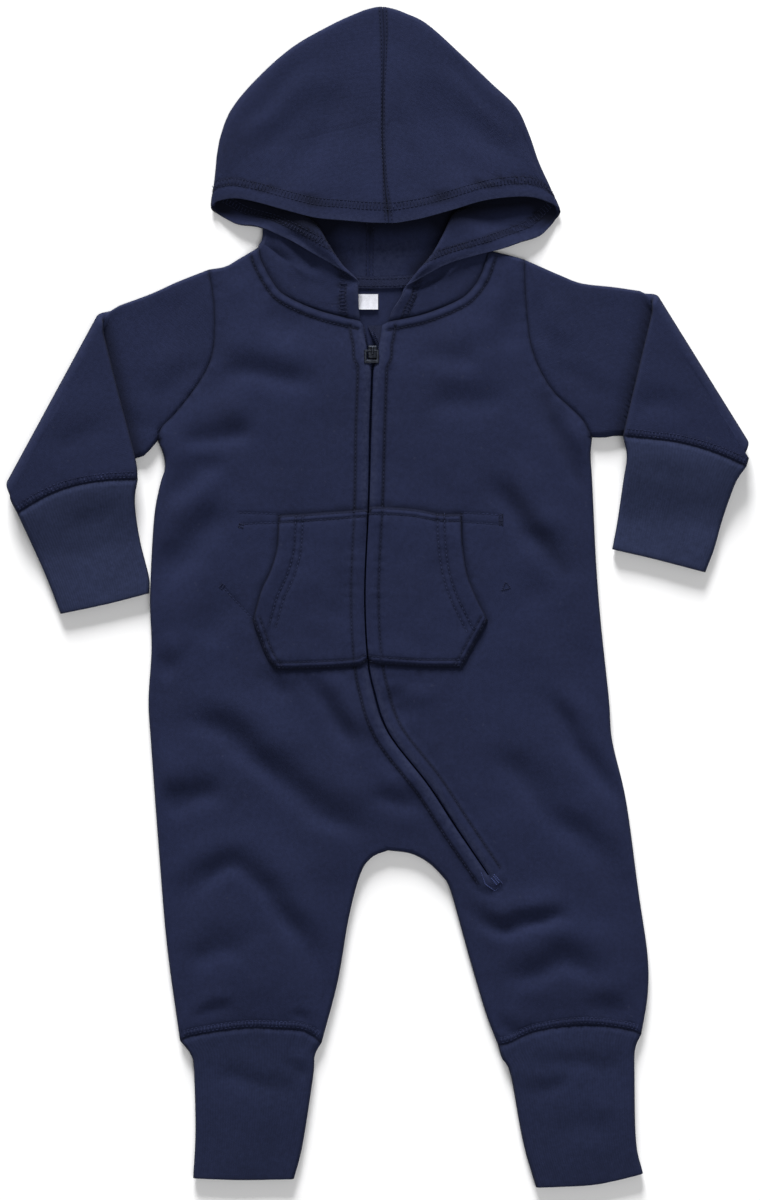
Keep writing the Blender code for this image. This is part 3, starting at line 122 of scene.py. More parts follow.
# ---------------------------------------------------------------- back
# The back is one piece of brushed cotton fleece with both legs. It lies on the surface, and at the
# sides, shoulders and inseam it turns up to the middle of the flattened garment's edge.

MM = 0.001
CLOTH = 2.0              # thickness of the fleece
SEAM_GAP = 0.3           # clear space between two layers that lie on each other
JOIN = 0.06              # and between two pieces at a seam
EDGE_HEIGHT = 6.0        # height of the two layers where they are folded or sewn together
ROLL = EDGE_HEIGHT / 2   # outer radius of a folded edge
ROLL_PARTS = 8           # cells round a quarter of a folded edge
BACK_STEP = 6.0          # spacing of points in the back
FRONT_STEP = 3.4         # and in the front
FINE = 4                 # how many fine cells there are to one of the hood's coarse ones
# The hood's coarse cells: over its floor, its side up to the crest and on to the face, and round a fold
HOOD_FLOOR_CELLS, HOOD_SIDE_CELLS, HOOD_FACE_CELLS, ROLL_CELLS = 5, 4, 3, 4

NECK_RIGHT = [(-11.5, 179), (-39, 186), (-60, 195.5), (-68, 204), (-75.5, 218), (-77.5, 227)]
NECK_LEFT = [(72, 225), (69.5, 217), (66.5, 208.5), (61, 200), (52, 192.5), (30, 183.5), (6.5, 178.5)]
NECK_BACK_RIGHT = [(-5.5, 199), (-15.5, 199.5), (-36.5, 202), (-56, 208), (-70, 218), (-77.5, 227)]
NECK_BACK_LEFT = [(72, 225), (58, 214), (40.5, 205), (21, 200), (-5.5, 199)]
SHOULDER_RIGHT = [(-77.5, 227), (-91, 219), (-99, 214.5), (-110, 212.5)]
SHOULDER_LEFT = [(95, 219), (86.5, 221.5), (72, 225)]
ARMHOLE_RIGHT = [(-110, 212.5), (-107, 195.5), (-106, 179), (-107, 160.5), (-112, 146), (-123, 129.5),
                 (-133, 117.5), (-140.5, 110), (-143, 101.5)]
ARMHOLE_LEFT = [(139, 103.5), (133, 114.5), (124, 123.5), (114.5, 132.5), (106, 145.5), (100, 160.5),
                (97.5, 175.5), (95.5, 199), (95, 219)]
SIDE_RIGHT = [(-143, 101.5), (-139, 91.5), (-138.5, 82.5), (-141.5, 73), (-145.5, 50), (-148, 0),
              (-147, -33), (-149, -67), (-147.5, -93), (-142.5, -161), (-137, -226), (-128.5, -288)]
SIDE_LEFT = [(171, -283.5), (175, -258.5), (175, -232.5), (169, -190.5), (161, -132), (152, -93),
             (150, -67), (144.5, -15), (141.5, 24), (139, 76), (138, 91.5), (139, 103.5)]
LEG_SEAM_RIGHT = [(-128.5, -288), (-119, -284.5), (-88, -280), (-65, -280), (-48, -281.5), (-36.5, -289)]
LEG_SEAM_LEFT = [(78, -291), (86, -289), (102.5, -282), (132, -277.5), (158.5, -280), (171, -283.5)]
INSEAM_RIGHT = [(-36.5, -289), (-26, -249), (-19, -208.5), (-11.5, -180), (-4, -169), (6.5, -164.5)]
INSEAM_LEFT = [(6.5, -164.5), (21, -166.5), (32, -172), (41, -180.5), (47, -190.5), (58, -229.5),
               (69.5, -268.5), (78, -291)]


def smooth_line(points):
    """A fine smooth line through the points, straight where there are only two."""
    p = np.array(points, float)
    if len(p) < 3:
        return p
    ends = np.vstack([2 * p[0] - p[1], p, 2 * p[-1] - p[-2]])
    t = np.linspace(0, 1, 9)[:-1, None]
    spans = []
    for a, b, c, d in zip(ends, ends[1:], ends[2:], ends[3:]):
        bend, turn = 2 * a - 5 * b + 4 * c - d, 3 * b - a - 3 * c + d
        spans.append(0.5 * (2 * b + (c - a) * t + bend * t**2 + turn * t**3))
    return np.vstack(spans + [p[-1:]])


def lengths(line):
    """How far each point of a line is from its start, along it."""
    return np.concatenate([[0], np.cumsum(np.linalg.norm(np.diff(line, axis=0), axis=1))])


def along(line, distances):
    """The points of a line at these distances from its start."""
    run = lengths(line)
    return np.column_stack([np.interp(distances, run, line[:, k]) for k in range(line.shape[1])])


def spaced(line, step):
    """Points along a line in equal cells of about this length."""
    total = lengths(line)[-1]
    return along(line, np.linspace(0, total, max(2, round(total / step) + 1)))


def normals(line):
    """Directions to the left of a line."""
    run = np.gradient(line[:, :2], axis=0)
    run /= np.maximum(np.linalg.norm(run, axis=1), 1e-9)[:, None]
    return np.column_stack([-run[:, 1], run[:, 0]])


def offset(line, distance):
    """The line moved to its left."""
    return line + distance * normals(line)


def in_parts(measure):
    """The same measure, worked out for a few thousand points at a time."""
    def measured(points, *rest):
        parts = np.array_split(points, len(points) // 2000 + 1)
        return np.concatenate([measure(part, *rest) for part in parts])
    return measured


@in_parts
def nearest(points, line):
    """For each point, the nearest point of the line, and how far along the line that is."""
    a, ab = line[:-1], np.diff(line, axis=0)
    t = np.einsum("ijk,jk->ij", points[:, None] - a, ab) / np.maximum((ab**2).sum(1), 1e-12)
    t = np.clip(t, 0, 1)
    foot = a + t[..., None] * ab
    best = np.linalg.norm(points[:, None] - foot, axis=2).argmin(1)
    at = np.arange(len(points)), best
    run = lengths(line)[best] + t[at] * np.linalg.norm(ab, axis=1)[best]
    return np.column_stack([foot[at], run])


def distance_to(points, lines):
    """Distance in the plan to the nearest of the lines."""
    return np.min([np.linalg.norm(points - nearest(points, line)[:, :2], axis=1) for line in lines], axis=0)


@in_parts
def inside(points, loop):
    """Which points lie inside a closed outline."""
    x, y = points[:, 0][:, None], points[:, 1][:, None]
    a, b = loop, np.roll(loop, -1, axis=0)
    crosses = (a[:, 1] > y) != (b[:, 1] > y)
    rise = np.where(a[:, 1] == b[:, 1], 1.0, b[:, 1] - a[:, 1])
    return (crosses & (x < (b[:, 0] - a[:, 0]) * (y - a[:, 1]) / rise + a[:, 0])).sum(1) % 2 == 1


def ease(t):
    """0 up to 0, 1 from 1 on, and smooth between them."""
    t = np.clip(t, 0, 1)
    return t * t * (3 - 2 * t)


def thinned(points, gap, sure=0):
    """The points without those nearer than the gap to an earlier one; the first ones all stay."""
    kept, cells = [], {}
    for k, point in enumerate(points):
        column, row = int(point[0] // gap), int(point[1] // gap)
        near = [cells.get((column + i, row + j)) for i in (-1, 0, 1) for j in (-1, 0, 1)]
        if k < sure or all(other is None or math.dist(other, point) >= gap for other in near):
            cells[column, row] = point
            kept.append(point)
    return np.array(kept)


def plan_tree(points):
    """A search tree of the points as they lie in the plan."""
    tree = kdtree.KDTree(len(points))
    for k, point in enumerate(points):
        tree.insert((*point[:2], 0), k)
    tree.balance()
    return tree


def filling(loop, step, rows=(), edges=(), clear=0.6, least=0.45):
    """Points that fill an outline: rows along folded edges, other rows, then a staggered grid."""
    low, high = loop.min(0), loop.max(0)
    pitch = step * math.sqrt(3) / 2
    grid = np.array([(x + (k % 2) * step / 2, y)
                     for k, y in enumerate(np.arange(low[1] + pitch / 2, high[1], pitch))
                     for x in np.arange(low[0], high[0], step)])
    closed = np.vstack([loop, loop[:1]])
    kept = np.vstack([*edges, *rows])
    kept = kept[inside(kept, loop)]
    sure = 0
    if edges:
        sure = inside(np.vstack(edges), loop).sum()
        first = np.arange(len(kept)) < sure
        kept = kept[first | (distance_to(kept, FOLDED_EDGES) > ROLL + 0.5)]
    far = distance_to(kept, [closed]) > np.where(np.arange(len(kept)) < sure, 0.15, 0.35)
    kept = thinned(kept[far], least, far[:sure].sum())
    tree = plan_tree(kept)
    grid = grid[[tree.find((*point, 0))[2] > clear * step for point in grid]]
    grid = grid[inside(grid, loop)]
    return np.vstack([kept, grid[distance_to(grid, [closed]) > clear * step]])


def triangulate(loop, extra):
    """Delaunay triangles of the points inside a closed outline; its own points come first."""
    exact = np.vstack([loop, extra])
    edges = [(k, (k + 1) % len(loop)) for k in range(len(loop))]
    made = delaunay_2d_cdt(exact.tolist(), edges, [], 0, 1e-6, True)
    points = np.array([exact[own[0]] if own else point[:] for point, own in zip(made[0], made[3])])
    faces = np.array(made[2])
    return points, faces[inside(points[faces].mean(axis=1), loop)].tolist()


class Stretch:
    """One stretch of the body's outline: its smooth line and the places of the points along it.

    At an end that meets a folded edge, plain places say where the points stand while the cloth is
    flat, and outer and inner ones where the two faces of the rolled edge cross the seam.
    """

    def __init__(self, points, cells=None, before=None, after=None):
        self.line = smooth_line(points)
        total = lengths(self.line)[-1]
        turn = np.linspace(0, math.pi / 2, ROLL_PARTS + 1)[:-1]
        near = {"plain": ROLL * turn / (math.pi / 2), "outer": ROLL * (1 - np.cos(turn)),
                "inner": ROLL - (ROLL - CLOTH) * np.cos(turn)}
        reach = [ROLL / self.slant(edge) if edge else 0.0 for edge in (before, after)]
        middle = np.linspace(reach[0], total - reach[1], (cells or round(total / FRONT_STEP)) + 1)
        self.places = {}
        for face, at in near.items():
            start = at * reach[0] / ROLL if before else []
            end = total - at[::-1] * reach[1] / ROLL if after else []
            self.places[face] = np.concatenate([start, middle, end])
        self.turns = np.concatenate([turn if before else [], np.full(len(middle), math.pi / 2),
                                     turn[::-1] if after else []])
        self.points = along(self.line, self.places["plain"])
        self.inward = np.column_stack([np.interp(self.places["plain"], lengths(self.line), normal)
                                       for normal in normals(self.line).T])

    def slant(self, edge):
        """Sine of the angle at which this stretch meets a folded edge."""
        other = np.array(edge, float)
        if np.allclose(other[-1], self.line[0]) or np.allclose(other[-1], self.line[-1]):
            other = other[::-1]
        mine = self.line if np.allclose(other[0], self.line[0]) else self.line[::-1]
        a, b = mine[2] - mine[0], other[1] - other[0]
        return abs(a[0] * b[1] - a[1] * b[0]) / np.linalg.norm(a) / np.linalg.norm(b)

    def beside(self, sign, face="plain"):
        """One face's points, moved half a seam's gap into the body (1) or the next piece (-1)."""
        line = offset(self.line, sign * JOIN / 2)
        return along(line, self.places[face] * lengths(line)[-1] / lengths(self.line)[-1])


neck_cells = (HOOD_SIDE_CELLS + ROLL_CELLS + HOOD_FACE_CELLS) * FINE
BODY = {
    "neck_right": Stretch(NECK_RIGHT, neck_cells, after=SHOULDER_RIGHT),
    "neck_left": Stretch(NECK_LEFT, neck_cells, before=SHOULDER_LEFT),
    "neck_back_right": Stretch(NECK_BACK_RIGHT, HOOD_FLOOR_CELLS * FINE, after=SHOULDER_RIGHT),
    "neck_back_left": Stretch(NECK_BACK_LEFT, HOOD_FLOOR_CELLS * FINE, before=SHOULDER_LEFT),
    "shoulder_right": Stretch(SHOULDER_RIGHT),
    "shoulder_left": Stretch(SHOULDER_LEFT),
    "armhole_right": Stretch(ARMHOLE_RIGHT, None, SHOULDER_RIGHT, SIDE_RIGHT),
    "armhole_left": Stretch(ARMHOLE_LEFT, None, SIDE_LEFT, SHOULDER_LEFT),
    "side_right": Stretch(SIDE_RIGHT),
    "side_left": Stretch(SIDE_LEFT),
    "leg_seam_right": Stretch(LEG_SEAM_RIGHT, None, SIDE_RIGHT, INSEAM_RIGHT),
    "leg_seam_left": Stretch(LEG_SEAM_LEFT, None, INSEAM_LEFT, SIDE_LEFT),
    "inseam_right": Stretch(INSEAM_RIGHT),
    "inseam_left": Stretch(INSEAM_LEFT),
}
SEAMS = [key for key in BODY if key.startswith(("neck", "armhole", "leg_seam"))]
FOLDED_EDGES = [BODY[key].line for key in ("shoulder_right", "shoulder_left", "side_right", "side_left")]
FOLDED_EDGES.append(np.vstack([BODY["inseam_right"].line, BODY["inseam_left"].line[1:]]))


def edge_normals(points, folded):
    """Directions into the cloth, which is on the left of a folded edge, at points on that edge."""
    found = np.zeros_like(points)
    for line in folded:
        gap = np.linalg.norm(points[:, None] - line, axis=2)
        on = distance_to(points, [line]) < 1e-6
        found[on] += normals(line)[gap.argmin(1)[on]]
    return found / np.maximum(np.linalg.norm(found, axis=1), 1e-9)[:, None]


def roll_over(points, top, bottom, folded):
    """Outer and inner points of a layer whose folded edges turn to the middle of the edge height."""
    foot, away = np.empty_like(points), np.full(len(points), np.inf)
    for line in folded:
        near = nearest(points, line)[:, :2]
        far = np.linalg.norm(points - near, axis=1)
        closer = far < away
        foot[closer], away[closer] = near[closer], far[closer]
    inward = (points - foot) / np.maximum(away, 1e-9)[:, None]
    edge = away < ROLL - 1e-6
    on_edge = away < 1e-6
    if on_edge.any():
        inward[on_edge] = edge_normals(points[on_edge], folded)
    turn = np.where(edge, np.clip(away / ROLL, 0, 1), 1.0) * math.pi / 2
    sign = 1 if top[0] > ROLL else -1
    middle = ROLL + JOIN / 2 * sign
    heights = {"outer": (top, bottom)[sign < 0], "inner": (bottom, top)[sign < 0]}
    moves = {"outer": ROLL * (1 - np.cos(turn)), "inner": ROLL - (ROLL - CLOTH) * np.cos(turn)}
    place = np.where(edge[:, None], foot, points)
    made = {}
    for face, height in heights.items():
        plan = place + inward * np.where(edge, moves[face], 0)[:, None]
        made[face] = np.column_stack([plan, middle + (height - middle) * np.sin(turn)])
    for key in SEAMS:
        seam = BODY[key]
        gap = np.linalg.norm(points[:, None] - seam.beside(1), axis=2)
        at, where = np.nonzero(gap < 1e-4)
        for face, height in heights.items():
            made[face][at] = np.column_stack([
                seam.beside(1, face)[where],
                middle + (height[at] - middle) * np.sin(seam.turns[where])])
    return made["outer"], made["inner"]


def lower_outline():
    """The outline from the right shoulder, round both legs, to the left shoulder."""
    b = BODY
    return np.vstack([
        b["shoulder_right"].points[1:-1], b["armhole_right"].beside(1), b["side_right"].points[1:-1],
        b["leg_seam_right"].beside(1), b["inseam_right"].points[1:-1], b["inseam_left"].points[:-1],
        b["leg_seam_left"].beside(1), b["side_left"].points[1:-1], b["armhole_left"].beside(1),
        b["shoulder_left"].points[1:-1]])


def edge_rows():
    """Rows of points just inside the folded edges, where the cloth turns, in step with the edge's own."""
    rows = []
    for keys in (("shoulder_right",), ("shoulder_left",), ("side_right",), ("side_left",),
                 ("inseam_right", "inseam_left")):
        edge = np.vstack([BODY[key].points[:-1] for key in keys])[1:]
        inward = np.vstack([BODY[key].inward[:-1] for key in keys])[1:]
        rows += [edge + inward * ROLL * part / ROLL_PARTS for part in range(1, ROLL_PARTS + 1)]
    return rows


class Value:
    """A socket of a shader tree that takes part in Python expressions."""

    def __init__(self, socket):
        self.socket = socket

    def node(self, kind, settings=(), inputs=(), output=0):
        """Adds a node to the tree: its settings first, then the values or links of its sockets."""
        tree = self.socket.id_data
        made = tree.nodes.new(kind)
        for name, value in dict(settings).items():
            setattr(made, name, value)
        for name, value in dict(inputs).items():
            if isinstance(value, Value):
                tree.links.new(value.socket, made.inputs[name])
            else:
                made.inputs[name].default_value = value
        return Value(made.outputs[output])

    def maths(self, operation, *values):
        return self.node("ShaderNodeMath", {"operation": operation}, enumerate((self, *values)))

    def __add__(self, other):
        return self.maths("ADD", other)

    def __mul__(self, other):
        return self.maths("MULTIPLY", other)

    def __sub__(self, other):
        return self.maths("SUBTRACT", other)

    def __rsub__(self, other):
        return (self * -1.0) + other

    __radd__, __rmul__ = __add__, __mul__

    def wave(self):
        """1 on whole numbers and -1 half way between them."""
        return (self * math.tau).maths("COSINE")

    def between(self, low, high):
        """0 below low, 1 above high, and smooth between them."""
        return self.node("ShaderNodeMapRange", {"interpolation_type": "SMOOTHSTEP"},
                         {0: self, 1: low, 2: high, 3: 0.0, 4: 1.0})

    def mix(self, first, second):
        """A colour between two, by this value."""
        return self.node("ShaderNodeMix", {"data_type": "RGBA"}, {0: self, 6: first, 7: second}, 2)

    def noise(self, size, detail=2.0, roughness=0.5):
        """Soft noise on these coordinates, with spots of about this size in metres."""
        return self.node("ShaderNodeTexNoise", (), {0: self, 2: 1 / size, 3: detail, 4: roughness})


def shaded(colour, factor=1.0):
    """A colour made lighter or darker, as a shader takes it."""
    return (*(channel * factor for channel in colour), 1.0)


def new_material(name, roughness, sheen=0.0, metallic=0.0):
    """A material, its shader, the place on the object and the places across and up the weave."""
    material = bpy.data.materials.new(name)
    material.use_nodes = True
    tree = material.node_tree
    shader = tree.nodes["Principled BSDF"]
    shader.inputs["Roughness"].default_value = roughness
    shader.inputs["Sheen Weight"].default_value = sheen
    shader.inputs["Sheen Roughness"].default_value = 0.55
    shader.inputs["Metallic"].default_value = metallic
    shader.inputs["Specular IOR Level"].default_value = 0.5 if metallic else 0.10
    place = Value(tree.nodes.new("ShaderNodeTexCoord").outputs["Object"])
    weave = Value(tree.nodes.new("ShaderNodeUVMap").outputs[0])
    across = weave.node("ShaderNodeSeparateXYZ", (), {0: weave})
    return material, shader, place, across, Value(across.socket.node.outputs[1])


def surfaced(shader, colour, height, depth, roughness=None):
    """Links what varies over a surface: its colour, its relief of that depth in metres, its roughness."""
    tree = shader.id_data
    tree.links.new(colour.socket, shader.inputs["Base Color"])
    bump = height.node("ShaderNodeBump", (), {"Height": height, "Distance": depth, "Strength": 1.0})
    tree.links.new(bump.socket, shader.inputs["Normal"])
    if roughness:
        tree.links.new(roughness.socket, shader.inputs["Roughness"])


NAVY = (0.0118, 0.0157, 0.0428)      # colour of the fleece
PALER_NAVY = (0.030, 0.036, 0.070)    # and paler, on its rubbed edges, beside the slit as a painted highlight and inside the hood as painted light
LINT = (0.05, 0.055, 0.085)
WALE, COURSE = 0.00085, 0.00070      # width and height of a knitted loop, in metres
STEEP_SHADE = 0.5                    # painted shade: how much darker the cloth is coloured where it turns down steeply, at rolled edges and silhouettes


def fleece_material():
    """Fine jersey face of a brushed fleece: columns of small loops, a little fuzz, paler on worn edges and
    where light is painted in, darker where shade is painted.
    """
    material, shader, place, across, up = new_material("navy fleece", 0.93, sheen=0.01)
    column = across * (1 / WALE)
    slant = (column.maths("FRACT") - 0.5).maths("ABSOLUTE")
    loops = (up * (1 / COURSE) + slant * 1.1).wave() * 0.5 + column.wave() * 0.5
    fuzz = place.noise(0.0006, 3.0, 0.6)
    heather = place.noise(0.0025, 4.0, 0.65)
    broad = place.noise(0.055, 3.0)
    worn = place.node("ShaderNodeAttribute", {"attribute_name": "worn"}, (), 2)
    tone = heather * 0.5 + fuzz * 0.28 + broad * 0.22 + loops * 0.05
    colour = tone.between(0.3, 0.7).mix(shaded(NAVY, 0.80), shaded(NAVY, 1.20))
    # Paler where the wear and shading value is above 0: rubbed edges, a painted highlight beside the zip's
    # slit, painted light inside the hood
    colour = (worn * heather.between(0.3, 0.6) * 0.5).mix(colour, shaded(PALER_NAVY))
    lint = place.noise(0.0035, 1.0).between(0.745, 0.80)
    colour = (lint * 0.14).mix(colour, shaded(LINT))
    # Painted shade where that value is below 0: seams, rows of stitches, creases, under the brim and on
    # steep faces
    colour = (worn * -0.85).mix(colour, shaded(NAVY, 0.25))
    surfaced(shader, colour, loops * 0.35 + fuzz * 1.4, 0.00010, broad * 0.1 + 0.87)
    return material


fleece = fleece_material()


def wall(name, outer, inner, faces, material, weave, corners=None, worn=None):
    """Cloth with thickness: outer and inner points, the polygons of one face, and a rim round its edges.

    weave gives each corner's place on the flat cloth, in millimetres; corners picks them where the
    cloth closes on itself. The wear and shading values are above 0 where the cloth is coloured paler, on
    rubbed edges and where light is painted in, and below 0 where shade is painted in seams, dents, creases
    and under folds; steep faces get painted shade as well.
    """
    count = len(outer)
    corners = faces if corners is None else corners
    edges = {(face[k - 1], face[k]): (corner[k - 1], corner[k])
             for face, corner in zip(faces, corners) for k in range(len(face))}
    rim = [(pair, at) for pair, at in edges.items() if pair[::-1] not in edges]
    solid = [list(face) for face in faces]
    solid += [[count + k for k in reversed(face)] for face in faces]
    solid += [[b, a, count + a, count + b] for (a, b), _ in rim]
    uv = [list(corner) for corner in corners] + [list(reversed(corner)) for corner in corners]
    uv += [[b, a, a, b] for _, (a, b) in rim]
    points = np.vstack([outer, inner])
    if signed_volume(points, solid) < 0:
        solid = [face[::-1] for face in solid]
        uv = [corner[::-1] for corner in uv]
    made = in_scene(name, bpy.data.meshes.new(name))
    made.data.from_pydata((points * MM).tolist(), [], solid)
    made.data.materials.append(material)
    layer = made.data.uv_layers.new(name="weave")
    flat = np.asarray(weave, float)[np.concatenate([np.array(corner) for corner in uv])] * MM
    layer.data.foreach_set("uv", flat.ravel())
    # This attribute holds rubbed wear together with painted light and painted shade
    wear_and_shading_attribute = made.data.attributes.new("worn", "FLOAT", "POINT")
    amount = np.zeros(count) if worn is None else np.asarray(worn, float)
    facing = np.empty(2 * count * 3, np.float32)
    made.data.vertex_normals.foreach_get("vector", facing)
    steep = 1 - abs(facing[2::3])
    # Painted shade: faces that turn steeply down, at rolled edges and silhouettes, are coloured darker
    amount = np.concatenate([amount, amount]) - STEEP_SHADE * ease((steep - 0.3) / 0.5)
    wear_and_shading_attribute.data.foreach_set("value", amount.astype(np.float32))
    made.data.shade_smooth()
    made.data.set_sharp_from_angle(angle=math.radians(58))
    return made


def signed_volume(points, faces):
    """Six times the volume inside the faces, below 0 where they point inwards."""
    total = 0.0
    for size in {len(face) for face in faces}:
        group = points[np.array([face for face in faces if len(face) == size])]
        for k in range(1, size - 1):
            total += np.einsum("ij,ij->", group[:, 0], np.cross(group[:, k], group[:, k + 1]))
    return total


def dressed(piece, node):
    """Puts a finished piece of cloth in the place of its solid."""
    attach(piece, "garment")
    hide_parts(node)


loop = np.vstack([BODY["neck_back_left"].beside(1)[:-1], BODY["neck_back_right"].beside(1),
                  lower_outline()])
points, faces = triangulate(loop, filling(loop, BACK_STEP, edges=edge_rows(), clear=0.5))
outer, inner = roll_over(points, np.full(len(points), CLOTH), np.zeros(len(points)), FOLDED_EDGES)
back = wall("back_panel", outer, inner, faces, fleece, points)
dressed(back, "back")

# ---------------------------------------------------------------- front
# The front is one piece with both legs, slit from the neck to the left thigh for the zip. Its edges
# are turned in and topstitched, as a band along each side of the zip and one under the hood.

PUFF = 2.6               # how much higher the front lies away from its edges
PUFF_REACH = 20.0        # distance from an edge at which most of that height is reached
FOLD_MARGIN = 9.0        # distance from an edge at which the folds reach their whole depth
WANDER = 4.0             # how far the folds wander from their smooth curves
LOWEST = -1.0            # how far below its edges the front can sink in a fold before it lies on the back
BAND_RISE = 0.9          # extra height of the turned and topstitched bands
BESIDE_BAND = 0.7        # how far the cloth sinks beside the zip's bands
ZIP_BAND, NECK_BAND = 9.4, 6.5

# Line of the zip from the neck to its lower end. Columns: x, y, half width of the slit
ZIP_LINE = [(-3.5, 176.2, 6.2), (-3.5, 168, 5.2), (-3.5, 163, 4.0), (-3.5, 154.5, 3.6), (-3.6, 149, 1.1),
            (-3.8, 143, 0.8), (-5, 108.5, 0.9), (-6, 63, 0.6), (-8.5, 3, 0.55), (-6.5, -41, 0.6),
            (-2, -63.5, 0.75), (3, -80, 0.75), (11.5, -95, 0.55), (32.5, -121.5, 0.55), (50.5, -149, 0.6),
            (71.5, -180, 0.45)]
# Outlines of the two halves of the pocket, which press into the front
POCKETS = {
    "right": {
        "top": [(-6.6, 57), (-40, 54.5), (-64, 53)],
        "mouth": [(-64, 53), (-64.5, 43.5), (-65.5, 30.5), (-69.5, 17), (-75.5, 4), (-81, -15)],
        "slant": [(-81, -15), (-73, -36.5), (-66.5, -47)],
        "bottom": [(-66.5, -47), (-51.5, -47), (-15, -45), (-6.7, -42)],
    },
    "left": {
        "top": [(-5.8, 58.5), (4, 58.5), (24, 57), (40.5, 54), (54, 54)],
        "mouth": [(54, 54), (54.5, 36.5), (57, 18), (62, 3), (71, -15)],
        "slant": [(71, -15), (63, -30), (54.5, -45.5)],
        "bottom": [(54.5, -45.5), (30, -45.5), (4.5, -44), (-5.8, -43)],
    },
}
# Folds of the cloth as it lies. Columns: points along the trough, its half width and depth
FOLDS = [
    ([(-136, -72), (-104, -86), (-83, -100), (-42, -136), (-18, -150), (4, -157)], 9.8, 3.9),
    ([(-48, -49), (-34, -71), (-22, -90), (-10, -104)], 7.2, 2.9),
    ([(-76, -49), (-68, -56), (-56, -66)], 6.5, 1.6),
    ([(-142, -138), (-120, -132), (-96, -125)], 10.4, 3.6),
    ([(-140, -208), (-120, -190), (-97, -174), (-80, -182), (-62, -207), (-48, -228), (-30, -252)],
     8.0, 3.0),
    ([(-124, -240), (-101, -228), (-80, -231)], 9.1, 2.0),
    ([(-122, -275), (-108, -268), (-92, -266)], 3.2, 1.0),
    ([(-60, -276), (-52, -272), (-44, -277)], 2.6, 0.9),
    ([(8, -58), (12, -70), (24, -84)], 7.8, 2.3),
    ([(-8, -126), (10, -134), (32, -137)], 7.2, 2.2),
    ([(54, -198), (68, -211), (81, -216), (98, -210), (130, -205)], 6.0, 3.2),
    ([(76, -251), (105, -243), (125, -236), (152, -253)], 9.1, 3.0),
    ([(100, -56), (119, -81), (134, -103), (147, -120), (170, -142)], 7.5, 3.4),
    ([(64, -92), (98, -122), (119, -147), (141, -169), (172, -204)], 11.0, 2.6),
    ([(-150, -38), (-142, -44), (-132, -50)], 7.8, 1.8),
    ([(132, -264), (150, -268), (168, -270)], 7.8, 1.7),
    ([(78, -277), (86, -280), (97, -285)], 4.5, 1.3),
    ([(-108, 139), (-83, 146), (-59, 139), (-32, 133)], 8.5, 2.4),
    ([(-134, 100), (-104, 104), (-74, 110)], 7.8, 2.7),
    ([(-140, 62), (-120, 78), (-98, 92)], 9.8, 2.7),
    ([(-146, 6), (-127, 24), (-111, 43), (-86, 56)], 11.7, 2.7),
    ([(112, 120), (119, 102), (127, 85), (137, 64)], 6.5, 4.4),
    ([(66, 82), (84, 58), (104, 32), (128, 6)], 9.0, 3.2),
    ([(22, 162), (46, 154), (68, 154)], 9.1, 1.7),
    ([(26, 126), (58, 125), (92, 131)], 10.4, 1.6),
    ([(-80, 184), (-64, 178), (-50, 168)], 10.4, 1.5),
    ([(96, 196), (88, 176), (84, 158)], 10.4, 1.2),
    ([(-88, 4), (-104, -14), (-112, -36)], 11.7, 1.3),
    ([(96, 20), (108, -12), (112, -40)], 13.0, 1.5),
]

zip_line = smooth_line([row[:2] for row in ZIP_LINE])
zip_half = smooth_line([(row[2], 0) for row in ZIP_LINE])[:, 0]
LEG_SEAMS = [BODY["leg_seam_right"].line, BODY["leg_seam_left"].line]
NECK_LINES = [BODY["neck_right"].line, BODY["neck_left"].line]
DENTED = [BODY["armhole_right"].line, BODY["armhole_left"].line, *LEG_SEAMS, *NECK_LINES]


def slit_edge(side, extra=0.0):
    """One edge of the zip's slit, from the neck down, moved out by an extra distance."""
    return zip_line + normals(zip_line) * (side * (np.maximum(zip_half, 0.4) + extra))[:, None]


SLIT = {"right": slit_edge(-1), "left": slit_edge(1)}
BAND_ROW = 0.9           # from the edge of a band to the row of stitches along it


def uneven(points, size, height, layer=0.0):
    """Soft unevenness of cloth that has been smoothed out by hand."""
    return height * np.array([noise.noise((x / size, y / size, layer)) for x, y in points[:, :2]])


def fold_height(points, folds):
    """Sum of the folds: each a trough along an uneven curve, with a lower ridge on its upper side."""
    total = np.zeros(len(points))
    points = points + np.column_stack([uneven(points, 30, WANDER, 11), uneven(points, 30, WANDER, 17)])
    for places, width, depth in folds:
        line = smooth_line(places)
        foot = nearest(points, line)
        away = np.linalg.norm(points - foot[:, :2], axis=1)
        place = foot[:, 2] / lengths(line)[-1]
        taper = ease(place * 3) * ease((1 - place) * 3)
        side = np.where(points[:, 1] > foot[:, 1], away, -0.8 * away)
        ridge = np.exp(-((side - 2.0 * width) / (1.3 * width)) ** 2)
        trough = np.exp(-(away / np.where(side > 0, width, 0.75 * width)) ** 2)
        taper *= 1 + 0.5 * uneven(foot, 24, 1.0, width)
        total += depth * (0.6 * ridge - trough) * taper * (away < 5 * width)
    return total


def body_top(points):
    """Height of the front's outer face, without its bands."""
    reach = distance_to(points, FOLDED_EDGES + DENTED)
    soft = 1 - np.exp(-(reach / PUFF_REACH) ** 2)
    top = PUFF * soft + fold_height(points, FOLDS) * ease(reach / FOLD_MARGIN) - LOWEST
    return EDGE_HEIGHT + LOWEST + (top + np.sqrt(top**2 + 0.5)) / 2


def pucker(points, line, pitch, height, reach):
    """Small ripples that a row of stitches draws up across itself."""
    near = nearest(points, line)
    away = np.linalg.norm(points - near[:, :2], axis=1)
    wander = np.array([noise.noise((run / 22, 3.7, 0)) for run in near[:, 2]])
    return height * np.sin(math.tau * near[:, 2] / pitch + 4 * wander) * np.exp(-(away / reach) ** 2)


def groove(away, depth, width=0.9):
    """The dent that a row of stitches leaves, at a distance away from it."""
    return -depth * np.exp(-(away / width) ** 2)


def off_folds(lines):
    """The lines without what lies on a rolled edge."""
    return [line[distance_to(line, FOLDED_EDGES) > ROLL] for line in lines]


